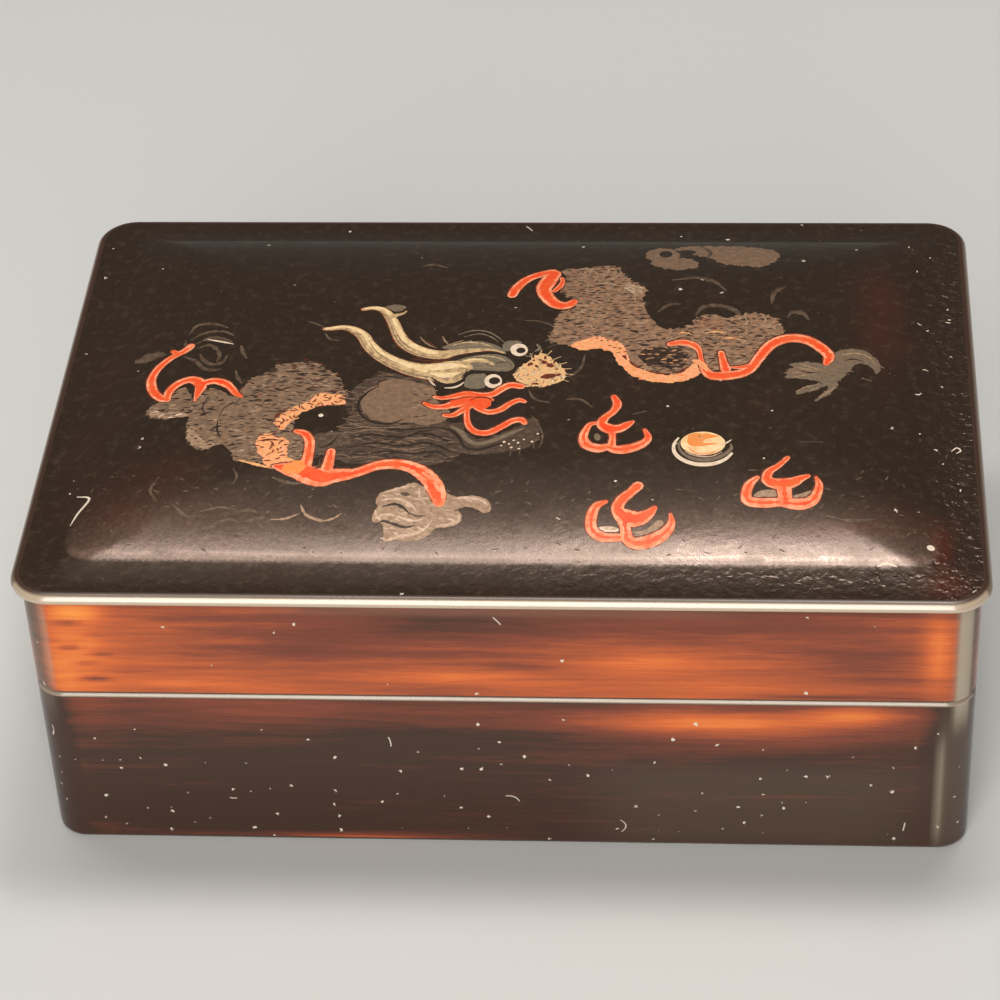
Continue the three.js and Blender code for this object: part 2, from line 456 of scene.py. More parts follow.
def lid_section(box):
    """The lid from its cove down the inner wall, up the outer wall and over the lip."""
    out, inner, cove, small = box.overhang, box.inner, box.cove, box.inner_edge
    rebate = box.tongue_outer - box.tongue_clearance
    rebate_top = box.tongue_top + box.tongue_clearance
    ceiling = box.lip_top - box.ceiling
    seam_edge, lip = box.lid_seam_edge, box.lip_edge
    down = min(box.lip_round_down, box.lip_thickness - lip)
    round_in = box.lip_round_in
    wall_foot, wall_top = box.seam + seam_edge, box.lip_underside
    return labelled(
        ("inside", arc(inner + cove, ceiling - cove, cove, cove, 90, 180)),
        ("inside", line((inner, ceiling - cove), (inner, rebate_top + small), 4)),
        ("inside", arc(inner - small, rebate_top + small, small, small, 0, -90, 3)),
        ("inside", arc(rebate + small, rebate_top - small, small, small, 90, 180, 3)),
        ("inside", arc(rebate - small, box.seam + small, small, small, 0, -90, 3)),
        ("edge", arc(out + seam_edge, wall_foot, seam_edge, seam_edge, 270, 180)),
        ("wall", line((out, wall_foot), (out, wall_top - small), WALL_STEPS)),
        ("wall", arc(out - small, wall_top - small, small, small, 0, 90, 3)),
        ("edge", arc(lip, wall_top + lip, lip, lip, 270, 180)),
        ("edge", arc(round_in, box.lip_top - down, round_in, down, 180, 90, 12)),
    )


# The painting, in millimetres on the plan of the lid


def through(points, closed):
    """A smooth curve through points: rows of x, y and, for a stroke, half width."""
    rows = np.array(points, float)
    count = len(rows)
    spans = count if closed else count - 1
    curve = []
    for i in range(spans):
        if closed:
            p0, p1, p2, p3 = (rows[(i + k) % count] for k in (-1, 0, 1, 2))
        else:
            p1, p2 = rows[i], rows[i + 1]
            p0 = rows[i - 1] if i else 2 * p1 - p2
            p3 = rows[i + 2] if i + 2 < count else 2 * p2 - p1
        steps = max(1, round(math.dist(p1[:2], p2[:2]) / STROKE_STEP))
        t = (np.arange(steps) / steps)[:, None]
        curve.append(
            0.5 * (2 * p1 + (p2 - p0) * t + (2 * p0 - 5 * p1 + 4 * p2 - p3) * t**2
                   + (3 * p1 - p0 - 3 * p2 + p3) * t**3)
        )
    if not closed:
        curve.append(rows[-1:])
    return np.concatenate(curve)


class Painting:
    """Shapes of paint in the order they were laid: each a pigment and an outline."""

    def __init__(self, seed):
        self.shapes = []
        self.chance = random.Random(seed)

    def stroke(self, pigment, *points, wobble=0.0):
        """A tapered stroke along points of x, y and half width."""
        curve = through(points, False)
        if wobble:
            curve[:, 2] *= [self.chance.uniform(1 - wobble, 1 + wobble) for _ in curve]
        ahead = np.gradient(curve[:, :2], axis=0)
        ahead /= np.maximum(np.linalg.norm(ahead, axis=1), 1e-6)[:, None]
        aside = np.stack([-ahead[:, 1], ahead[:, 0]], 1)
        half = np.maximum(curve[:, 2], LEAST_HALF_WIDTH)[:, None]
        left, right = curve[:, :2] + half * aside, curve[:, :2] - half * aside
        ends = []
        for end, sign in ((-1, 1), (0, -1)):
            tip = []
            if half[end, 0] > ROUND_END_FROM:
                for turn in np.radians([45, 90, 135]):
                    way = sign * (math.cos(turn) * aside[end] + math.sin(turn) * ahead[end])
                    tip.append(curve[end, :2] + half[end, 0] * way)
            ends.append(np.array(tip).reshape(-1, 2))
        self.shapes.append((pigment, np.concatenate([left, ends[0], right[::-1], ends[1]])))

    def brush(self, *strokes, middle=0.5, core=0.0):
        """Red strokes laid together: a dark rim, pale edges, and a deeper middle."""
        for points in strokes:
            rim = [(x - 0.04, y + 0.09, half + RIM) for x, y, half in points]
            self.stroke("rust", *rim, wobble=0.1)
        for points in strokes:
            self.stroke("salmon", *points, wobble=0.05)
        for points in strokes:
            inner = [(x + 0.02, y + 0.05, middle * half) for x, y, half in points]
            self.stroke("vermilion", *inner, wobble=0.8 - middle)
        for points in strokes:
            if core:
                deep = [(x, y + 0.04, core * half) for x, y, half in points]
                self.stroke("scarlet", *deep, wobble=0.4)

    def line(self, pigment, width, *points, wobble=0.0):
        """A stroke of one half width, drawn out to points at its ends."""
        rows = [(x, y, width) for x, y in points]
        rows[0] = (*points[0], width * 0.4)
        rows[-1] = (*points[-1], width * 0.3)
        self.stroke(pigment, *rows, wobble=wobble)

    def lay(self, pigment, outline, ragged):
        """A closed shape, its outline made ragged by chance."""
        if ragged:
            outline += [
                (self.chance.uniform(-ragged, ragged), self.chance.uniform(-ragged, ragged))
                for _ in outline
            ]
        self.shapes.append((pigment, outline))
        return outline

    def area(self, pigment, *points, ragged=0.0):
        """A closed shape through points."""
        return self.lay(pigment, through(points, True), ragged)

    def oval(self, pigment, x, y, radius_x, radius_y, turn=0.0, ragged=0.0):
        """An ellipse, turned by an angle in degrees."""
        count = max(8, round(2 * math.pi * max(radius_x, radius_y) / STROKE_STEP))
        around = np.linspace(0, 2 * math.pi, count, endpoint=False)
        c, s = math.cos(math.radians(turn)), math.sin(math.radians(turn))
        px, py = radius_x * np.cos(around), radius_y * np.sin(around)
        outline = np.stack([x + c * px - s * py, y + s * px + c * py], 1)
        return self.lay(pigment, outline, ragged)

    def flecks(self, pigment, region, spacing, size, share, turn=0.0, spread=40.0):
        """Small dashes scattered over a region on a loose grid."""
        low, high = region.min(0), region.max(0)
        spots = []
        for x in np.arange(low[0], high[0], spacing):
            for y in np.arange(low[1], high[1], spacing * 0.8):
                dx = self.chance.uniform(-0.5, 0.5) * spacing
                dy = self.chance.uniform(-0.5, 0.5) * spacing
                if self.chance.random() < share:
                    spots.append((x + dx, y + dy))
        if not spots:
            return
        inside = winding(np.array(spots), region) != 0
        for (x, y), keep in zip(spots, inside):
            way = math.radians(turn + self.chance.uniform(-spread, spread))
            reach = size * self.chance.uniform(0.5, 1.2)
            width = size * self.chance.uniform(0.18, 0.36)
            if keep:
                c, s = math.cos(way) * reach, math.sin(way) * reach
                bow = self.chance.uniform(-0.3, 0.3) * reach
                middle = (x - s * bow, y + c * bow, width)
                self.stroke(pigment, (x - c, y - s, 0.07), middle, (x + c, y + s, 0.07))

    def bricks(self, pigment, region, along, up, size, width, share, tilt=0.0):
        """Staggered rows of short dashes over a region, like the joints of brickwork."""
        low, high = region.min(0), region.max(0)
        places = []
        for row, y in enumerate(np.arange(low[1], high[1], up)):
            for x in np.arange(low[0] + 0.5 * along * (row % 2), high[0], along):
                if self.chance.random() < share:
                    dx = self.chance.uniform(-0.3, 0.3) * along
                    dy = self.chance.uniform(-0.3, 0.3) * up
                    places.append((x + dx, y + dy))
        if not places:
            return
        inside = winding(np.array(places), region) != 0
        for (x, y), keep in zip(places, inside):
            turn = math.radians(tilt + self.chance.uniform(-22, 22))
            reach = size * self.chance.uniform(0.6, 1.25)
            half = width * self.chance.uniform(0.6, 1.3)
            if keep:
                c, s = math.cos(turn) * reach, math.sin(turn) * reach
                bow = self.chance.uniform(-0.15, 0.35) * reach
                self.stroke(pigment, (x - c, y - s, 0.06), (x, y + bow, half), (x + c, y + s, 0.06))


def winding(points, outline):
    """How often an outline runs round each point."""
    x, y = points[:, 0][:, None], points[:, 1][:, None]
    x1, y1 = outline[:, 0], outline[:, 1]
    x2, y2 = np.roll(x1, -1), np.roll(y1, -1)
    side = (x2 - x1) * (y - y1) - (x - x1) * (y2 - y1)
    up = (y1 <= y) & (y2 > y) & (side > 0)
    down = (y1 > y) & (y2 <= y) & (side < 0)
    return up.sum(1) - down.sum(1)


def paint_faint_curls(p):
    """Grey clouds and curls that have almost worn away."""
    p.oval("pale_mane", 23.5, 35.8, 2.9, 3.2, ragged=0.25)
    p.area(
        "pale_mane", (21.5, 33), (23.5, 30.5), (26.5, 30), (29.5, 31), (29, 33.5), (26, 34.5), ragged=0.3,
    )
    p.area(
        "pale_mane", (25.5, 38.5), (29, 40), (34, 40), (39, 39.5), (42.5, 37.5), (42.8, 33.5), (40, 31.2),
        (36, 31.6), (33, 32.6), (31.6, 35), (28.5, 36), ragged=0.4,
    )
    p.oval("top", 24, 36.2, 1.1, 1.5)
    p.oval("top", 27.6, 37.1, 1.5, 1.0)
    p.line("mist", 0.4, (30, 39.8), (31.5, 37), (31, 34.2))
    for rows in (
        [(25.2, 26.25), (29.3, 27.1), (32.25, 25.8), (34.3, 22.9)],
        [(23.1, 16.25), (24.75, 18.3), (26.8, 18.75)],
        [(29.3, 15.4), (30.6, 17.9), (33.5, 18.3), (36, 16.7), (36.8, 14.6)],
        [(41.8, 19.2), (42.25, 22.5), (44.3, 24.6)],
        [(44.4, 15.4), (45.2, 16.9), (47, 16.6), (47.9, 14.8)],
    ):
        p.line("mist", 0.42, *rows, wobble=0.3)
    front = p.area(
        "top", (-62, -24), (-40, -28), (0, -27), (40, -27), (62, -22), (66, -38), (0, -41.5), (-66, -39),
    )
    p.flecks("mist", front, 2.1, 0.5, 0.28, 10, 60)
    p.line("pale_powder", 0.2, (-35.4, -35.2), (-33.2, -35.0), (-31, -34), wobble=0.5)
    p.line(
        "pale_powder", 0.22, (-31, -32.3), (-30, -34.2), (-27.6, -35.3), (-25.75, -34.9), (-24.5, -33.9),
        wobble=0.5,
    )
    for rows in (
        [(-54, -26), (-55, -29), (-53.6, -31.6)], [(-46.6, -33.8), (-43.6, -32.9), (-40.8, -33.4)],
        [(-51, -32.4), (-48.6, -34.6), (-46, -34.4)], [(-44.4, -36.2), (-42, -35.2), (-40.4, -35.6)],
        [(50, -33.6), (53.6, -34.4), (57.6, -33.8)], [(8, -36.2), (10.4, -35.2), (12, -36)],
    ):
        p.line("mist", 0.26, *rows, wobble=0.4)
    p.line("mist", 0.3, (-40.5, -35.8), (-38, -35.2), (-36.5, -34.6))
    p.line("mist", 0.3, (-41, -33.7), (-38.8, -33.4), (-37.6, -33.9))
    p.line("mist", 0.32, (19.8, -11.2), (22, -10.4))
    p.line("mist", 0.3, (45.9, -17.3), (49.7, -17))
    p.line("mist", 0.34, (38.1, -24.3), (39.7, -24.3))
    p.line("mist", 0.36, (-17, 31), (-15, 31.6), (-12.6, 30.4))


def paint_left_claw(p):
    """The far claw at the left, which is little more than grey lines."""
    p.oval("mist", -60.2, 6.2, 2.6, 1.2, 10, ragged=0.3)
    for rows in (
        [(-54.2, 11), (-53, 13.4), (-50.2, 13.4), (-47.6, 12)],
        [(-53.6, 9.4), (-51.6, 11), (-48.6, 11.2), (-46.4, 9.8)],
        [(-52.6, 8.2), (-50, 9.6), (-47.4, 8.6), (-46.4, 7.6)],
        [(-52.2, 6.9), (-50.4, 7.6), (-49, 6.4), (-48.2, 4.6), (-48.4, 2.6)],
        [(-51.6, 5.4), (-50.6, 3.4), (-49.2, 2.2), (-47.4, 2.6), (-46.9, 4.6)],
        [(-44.9, 6.9), (-44.4, 5.1), (-43.5, 3.2)], [(-54.5, 9.5), (-54.2, 7.6), (-53.1, 6.4)],
        [(-43.5, -3.4), (-44.4, -1.8), (-45, 0.2)],
    ):
        p.line("mist", 0.34, *rows, wobble=0.3)
    p.line("hair", 0.34, (-54.3, 5.1), (-52.1, 3.5), (-50.6, 1.5), (-49, 0.6), (-47.4, 0.8))
    p.line("bone", 0.2, (-50.8, 9.2), (-48.2, 8.2), (-46.2, 7.4))
    p.line("ink", 0.24, (-52.2, 9.0), (-49.5, 7.9), (-46.5, 6.7))
    p.line("ink", 0.26, (-51.9, 11.7), (-49.8, 11.9), (-48, 11.3))
    p.line("ink", 0.26, (-45.4, 5.8), (-45, 4.2), (-44.4, 3.1))


def paint_left_coil(p):
    """The coil of the body at the left, with its belly plates."""
    body = p.area(
        "powder", (-58.6, -8.2), (-58, -10), (-55.9, -11.2), (-51.5, -11.5), (-51.2, -14), (-50.9, -16.5),
        (-50, -18.7), (-47.4, -20), (-45.2, -18.9), (-43.4, -20.6), (-42.1, -22.75), (-39.9, -23.1),
        (-36.8, -24.3), (-34, -25.9), (-30.5, -26.5), (-30.4, -22), (-31.2, -18), (-33.4, -15.8),
        (-34, -14.3), (-33.6, -12.4), (-32.4, -10.8), (-30.4, -9.7), (-28.4, -9.2), (-26.2, -9.1),
        (-26, -7.2), (-26.6, -5.4), (-27.4, -3.4), (-28.6, -1.3), (-30.25, 0.1), (-31.5, 1.8),
        (-33.7, 2.2), (-36, 1.7), (-37.9, 1.5), (-39, 0), (-40.9, -1.4), (-42.4, -2.4), (-43.2, -4.6),
        (-44.6, -6.9), (-46.4, -5.2), (-48.2, -4.2), (-49.6, -5.2), (-50.7, -7.4), (-51.6, -5.2),
        (-53, -3.4), (-54.4, -4.6), (-55.4, -6.6), (-57.2, -7), ragged=0.3,
    )
    p.flecks("pale_powder", body, 2.4, 0.9, 0.3, 0, 24)
    p.bricks("pale_powder", body, 1.3, 1.0, 0.5, 0.14, 0.5)
    p.bricks("dark_powder", body, 1.4, 1.0, 0.55, 0.15, 0.62)
    p.flecks("dark_powder", body, 2.6, 0.9, 0.3, 0, 24)
    shade = np.array([(-44, -5), (-38, 2.5), (-31, 3), (-26, -4), (-27.4, -6.4), (-36, -5), (-42, -9)])
    p.flecks("dark_powder", shade, 1.5, 0.9, 0.5, 0, 24)
    p.flecks("snuff", shade, 1.8, 0.5, 0.3, 0, 40)
    p.bricks("ink", body, 3.6, 2.6, 0.45, 0.12, 0.25)
    tail = p.area(
        "pale_powder", (-58.2, -8.4), (-57.6, -9.9), (-55.9, -10.9), (-53.4, -11.3), (-51.4, -11.1),
        (-52.6, -10.1), (-55, -9.7), (-56.4, -8.9), ragged=0.35,
    )
    p.bricks("bone", tail, 1.1, 0.8, 0.4, 0.13, 0.6)
    p.bricks("dark_powder", tail, 1.3, 1, 0.5, 0.14, 0.6)
    under = p.area(
        "pale_powder", (-51, -14.6), (-50.2, -18.2), (-47.6, -19.7), (-46.2, -18.9), (-48.4, -17.2),
        (-49.6, -14.6), ragged=0.4,
    )
    p.bricks("dark_powder", under, 1.2, 0.9, 0.4, 0.14, 0.7)
    p.line("ink", 0.16, (-46.3, -12.75), (-46.1, -15.25), (-45.25, -17.3))
    p.line("ink", 0.12, (-48.6, -6.4), (-49.2, -9.4), (-48.2, -11.8))
    p.line("ink", 0.1, (-42.9, -6.5), (-43.8, -8.2), (-45.6, -9.6), (-46.2, -12))
    p.line("pale_gold", 0.26, (-41.8, -22.7), (-38.9, -23.75), (-36.2, -24.7), wobble=0.4)
    p.line("mist", 0.4, (-36, -26.6), (-33.6, -27.7), (-31.2, -27.9), wobble=0.3)
    p.line("mist", 0.22, (-42.4, -24.6), (-41.6, -26.4), (-42, -28.2))
    plates = [
        p.area("gold", (-31.9, -8.6), (-31.3, -6.9), (-30, -6.1), (-28.4, -6.4), (-27, -6.8),
               (-26.1, -8), (-26.3, -9.1), (-28.6, -9.2), (-30.4, -9.6), ragged=0.16),
        p.area("gold", (-31.4, -8.2), (-33.3, -9.1), (-34.7, -10.3), (-36, -11.8), (-36.9, -13.6),
               (-36.3, -15.2), (-35.2, -15.4), (-34.7, -14), (-34, -12.7), (-32.9, -11.2),
               (-31.2, -9.9), ragged=0.2),
        p.area("gold", (-38.9, -16.8), (-39.3, -18.4), (-39.1, -20.2), (-38.2, -22), (-37.4, -23.9),
               (-35.4, -24.9), (-33, -25), (-32.4, -23.4), (-34, -22), (-34.4, -19.6),
               (-34.6, -17.8), (-36.6, -17.2), (-37.4, -16.4), ragged=0.25),
    ]
    for plate in plates:
        p.bricks("pale_gold", plate, 1.3, 0.95, 0.6, 0.34, 0.9)
        p.flecks("snuff", plate, 1.1, 0.55, 0.9, 0, 80)
    p.line("snuff", 0.22, (-39.4, -18.3), (-37.6, -17.9), (-35, -18.1), wobble=0.4)
    p.line("snuff", 0.2, (-34.8, -9.5), (-36.6, -11.4), (-37.6, -14.2), wobble=0.4)
    p.line("snuff", 0.16, (-36.4, -15.6), (-36.9, -16.6), (-38.6, -16.9), wobble=0.4)


def paint_left_limb(p):
    """The red foreleg at the far left."""
    p.brush(
        [(-53.4, 7.7, 0.7), (-54.2, 6.7, 0.66), (-55.3, 6.1, 0.6), (-56.3, 6.9, 0.4)],
        [(-54.6, 6.3, 0.55), (-56.4, 5.1, 0.66), (-58.1, 2.9, 0.72), (-58.9, 0.4, 0.78),
         (-58.7, -1.8, 0.8), (-57.8, -4.1, 0.76), (-56.4, -5.8, 0.7), (-55.3, -6.3, 0.5)],
        [(-55.6, -5.7, 0.7), (-55.3, -3.9, 0.8), (-54.2, -2.3, 0.82), (-52.4, -1.5, 0.82),
         (-50.9, -2.2, 0.95), (-50.2, -3.6, 0.95), (-50.5, -5.6, 0.55), (-50.75, -7.5, 0.16)],
        [(-50.4, -3.2, 0.85), (-49.4, -2.6, 0.78), (-48, -2.4, 0.78), (-46.2, -3.3, 0.78),
         (-45, -4.7, 0.62), (-44.2, -6, 0.56), (-43.2, -6.9, 0.3)],
    )
    p.stroke("scarlet", (-51, -2.5, 0.4), (-50.4, -3.8, 0.62), (-50.6, -6, 0.28))
    p.oval("salmon", -53.6, 7.7, 0.42, 0.3, 40)


def paint_mane(p):
    """The grey mane behind the head, with the cheek in front of it."""
    ground = p.area(
        "mane", (-30.4, -16.8), (-27, -15.6), (-25.4, -12), (-26.2, -8.4), (-25, -4.8), (-22.6, -2.2),
        (-20.2, -0.8), (-16, -2), (-12.6, -3.4), (-11.6, -8), (-10.8, -11.6), (-8.8, -14.2), (-7.4, -17),
        (-6.6, -20.4), (-8.6, -22.6), (-12, -23.6), (-18, -23), (-24, -23.6), (-26, -22.6),
        (-28.6, -20.4), (-30, -22.4), (-30.6, -20), ragged=0.3,
    )
    p.bricks("hair", ground, 2.3, 0.85, 1.1, 0.16, 0.7)
    p.bricks("ink", ground, 2.4, 1.0, 1.2, 0.17, 0.8)
    p.bricks("pale_mane", ground, 2.8, 0.9, 1.2, 0.11, 0.5)
    p.area(
        "hair", (-30, -16.9), (-27.4, -16), (-24.6, -16.6), (-24.4, -18.6), (-26.6, -19.6),
        (-28.2, -21.6), (-29.8, -21), ragged=0.3,
    )
    cheek = p.area(
        "cheek", (-23.6, -6.6), (-22, -4.2), (-19.6, -2.6), (-16.4, -2.9), (-13.4, -4.4), (-12.2, -7),
        (-12.4, -10.4), (-11.6, -13), (-15, -13.6), (-18.6, -13.6), (-21.6, -12.6), (-23.4, -10),
        ragged=0.12,
    )
    p.bricks("powder", cheek, 2.2, 1.4, 0.5, 0.12, 0.4)
    front = p.area(
        "cheek", (-15.6, -4.2), (-12.4, -4.6), (-11.4, -8.2), (-9.2, -11), (-10.6, -13.6), (-14.6, -13.8),
        (-15.4, -9),
    )
    p.bricks("ink", front, 1.5, 1.1, 0.5, 0.12, 0.6)
    p.bricks("pale_powder", front, 1.6, 1.3, 0.5, 0.1, 0.5)
    p.line("ink", 0.17, (-20.2, -2.6), (-21.4, -3.4), (-21.2, -4.6))
    p.line(
        "ink", 0.22, (-21.4, -4.4), (-23.1, -6.3), (-24.1, -9), (-23.2, -12), (-20.9, -13.7),
        (-18.4, -13.9), (-16.2, -12.6),
    )
    p.line("hair", 0.14, (-22.6, -4.2), (-24.1, -6.4), (-24.9, -9.2), (-24, -12.6), (-21.4, -14.6))
    for rows in (
        [(-24.6, -15.6), (-21, -14.9), (-16.6, -15.4), (-12.6, -14.8), (-10.2, -15)],
        [(-25, -17.8), (-21.6, -16.6), (-17, -17.3), (-13.6, -16.4), (-10.9, -16.9), (-8.9, -18.6)],
        [(-24, -19.6), (-20.4, -18.6), (-16.4, -19.4), (-12.8, -18.5), (-9.9, -19.6), (-8.2, -21)],
        [(-22, -21.4), (-18.4, -20.6), (-14.4, -21.2), (-11, -20.6), (-8.6, -22)],
        [(-26.6, -17), (-27.6, -19), (-29.2, -19.9)],
    ):
        p.line("ink", 0.22, *rows, wobble=0.3)
    for rows in (
        [(-24.8, -16.4), (-21.4, -15.5), (-17, -16.1)], [(-15, -17.6), (-13, -17.3), (-10.2, -18.1)],
        [(-20, -19.6), (-15.4, -20.1), (-11.8, -19.4)],
        [(-25.6, -13.4), (-22.6, -14.8), (-18.4, -14.9), (-14.6, -14.2)],
        [(-14.9, -3.6), (-13.6, -4), (-12.8, -5.4)],
    ):
        p.line("pale_mane", 0.15, *rows, wobble=0.4)


def paint_jaw(p):
    """The beard and the outline of the lower jaw."""
    jaw = p.area(
        "mane", (-10, -14.6), (-7, -13.6), (-6.2, -16), (-4, -17.6), (-1.2, -16.4), (1.4, -14.8),
        (4, -12.2), (5.2, -14.2), (5.2, -17.4), (3.4, -19.6), (0.4, -20.4), (-4, -21.2), (-7, -20.4),
        (-8, -17.6), ragged=0.2,
    )
    p.bricks("hair", jaw, 1.5, 0.9, 0.7, 0.14, 0.6, 20)
    p.line(
        "olive", 0.42, (-8.9, -14.5), (-7.1, -15.9), (-6, -17.8), (-4.3, -18.7), (-2, -17.9),
        (0.6, -16.2), (2.8, -14.8),
    )
    p.line(
        "ink", 0.26, (-10.6, -14.9), (-8.9, -15.4), (-7.4, -17.2), (-6.4, -19.4), (-4.2, -20.1),
        (-1.8, -19.1), (0.4, -17.9),
    )
    p.line("hair", 0.2, (-7.6, -20), (-5.2, -21), (-2.2, -20.4), (0.4, -19.6))
    for rows in (
        [(0.2, -18.4), (0.9, -20), (0.9, -21.6)], [(1.6, -17.6), (2.4, -19.4), (2.3, -21.2)],
        [(3.2, -14.8), (4.4, -16.8), (4.5, -19.6)], [(3.7, -11.6), (5, -13.8), (5.8, -17), (5.4, -19.6)],
    ):
        p.line("hair", 0.16, *rows, wobble=0.3)
    for x, y in (
        (-0.2, -18.2), (0.6, -18.7), (1.3, -17.8), (2, -18.4), (2.9, -17.6), (1, -19.5), (-0.6, -19.1),
        (4.2, -18.1), (5, -16.2), (2.2, -19.8),
    ):
        p.oval("bone", x, y, p.chance.uniform(0.14, 0.3), p.chance.uniform(0.14, 0.24), 30)
    p.line("mist", 0.24, (2.9, -5), (4.1, -7.5), (6.6, -8.4), wobble=0.2)
    p.line("mist", 0.22, (9.1, -7.5), (11, -7.4), (12.1, -8.1), (13.4, -9.6), wobble=0.2)
    p.line("mist", 0.2, (1.3, 13.75), (4.1, 13.4), (6.5, 11.6), (6, 9), (4.9, 7.9), wobble=0.2)


def paint_horns(p):
    """The two cream horns."""
    p.line("mist", 0.24, (-34.6, 13.4), (-33, 12.6), (-31.4, 11.4), wobble=0.2)
    p.line("mist", 0.24, (-31.4, 10.2), (-30.4, 8.4), (-28.8, 7.9), wobble=0.2)
    lower = [
        (-31.5, 11.2, 0.36), (-30.4, 11.3, 0.5), (-28.4, 11.6, 0.6), (-26.5, 10.8, 0.85),
        (-24.9, 9.1, 1.05), (-23.7, 6.6, 1.15), (-21.8, 4.1, 1.25), (-19.6, 2.2, 1.4), (-17.1, 0.7, 1.6),
        (-14.6, -0.2, 1.9), (-12.1, -0.5, 2.4), (-10, -0.9, 2.8),
    ]
    upper = [
        (-25.6, 16.8, 0.4), (-24, 17.2, 0.5), (-22.4, 16.7, 0.66), (-21.2, 15, 0.85),
        (-20.25, 12.8, 0.95), (-19.3, 10, 1.05), (-18.1, 7.5, 1.15), (-16.2, 5.6, 1.25), (-14, 4.5, 1.2),
        (-11.5, 4.1, 1.1), (-9, 5, 0.8), (-4, 5.7, 0.45), (-1.5, 4.7, 0.18),
    ]
    for horn in (lower, upper):
        p.stroke("snuff", *[(x - 0.05, y - 0.05, half + 0.14) for x, y, half in horn], wobble=0.1)
    for horn in (lower, upper):
        p.stroke("horn", *horn)
        p.stroke(
            "pale_horn", *[(x + 0.2 * half, y + 0.35 * half, 0.4 * half) for x, y, half in horn],
            wobble=0.4,
        )
        p.stroke(
            "tan", *[(x - 0.45 * half, y - 0.6 * half, 0.1 * half) for x, y, half in horn[2:]],
            wobble=0.9,
        )
    p.stroke("horn", (-20.9, 14.6, 0.5), (-19.8, 15.2, 0.4), (-18.8, 15.7, 0.26), (-18.4, 16.4, 0.14))
    p.area("olive", (-22, 17.6), (-20.4, 18.2), (-18.6, 17.6), (-19.4, 16.2), (-20.8, 16.6), ragged=0.2)
    p.line("pale_horn", 0.22, (-25.2, 16.9), (-23.6, 17.2), (-22.4, 16.8), wobble=0.2)
    p.line("tan", 0.13, (-20, 11.4), (-18.8, 8.4), (-17.4, 6.4), (-15.2, 4.9), wobble=0.3)
    p.line("tan", 0.13, (-24, 8.2), (-22.6, 5.2), (-20.4, 2.9), (-17.6, 1.1), wobble=0.3)
    p.line("snuff", 0.12, (-16.6, 3.1), (-14.2, 2.5), (-12, 2.4), (-10, 2.9), wobble=0.3)
    p.line("tan", 0.14, (-15.6, 9), (-14.7, 7.6), (-13.6, 6.5), (-12.6, 6), wobble=0.3)
    p.line("ink", 0.13, (-15.9, 8.7), (-15, 7.3), (-13.9, 6.2), wobble=0.3)
    p.line("rust", 0.12, (-14.4, 7.9), (-13.4, 6.9), (-12.8, 5.9))
    p.line("tan", 0.2, (-11.9, 9.2), (-11.4, 7.9), (-10.6, 6.7))
    p.line("tan", 0.18, (-8.4, 8.1), (-10, 7.2), (-11.8, 6.1))


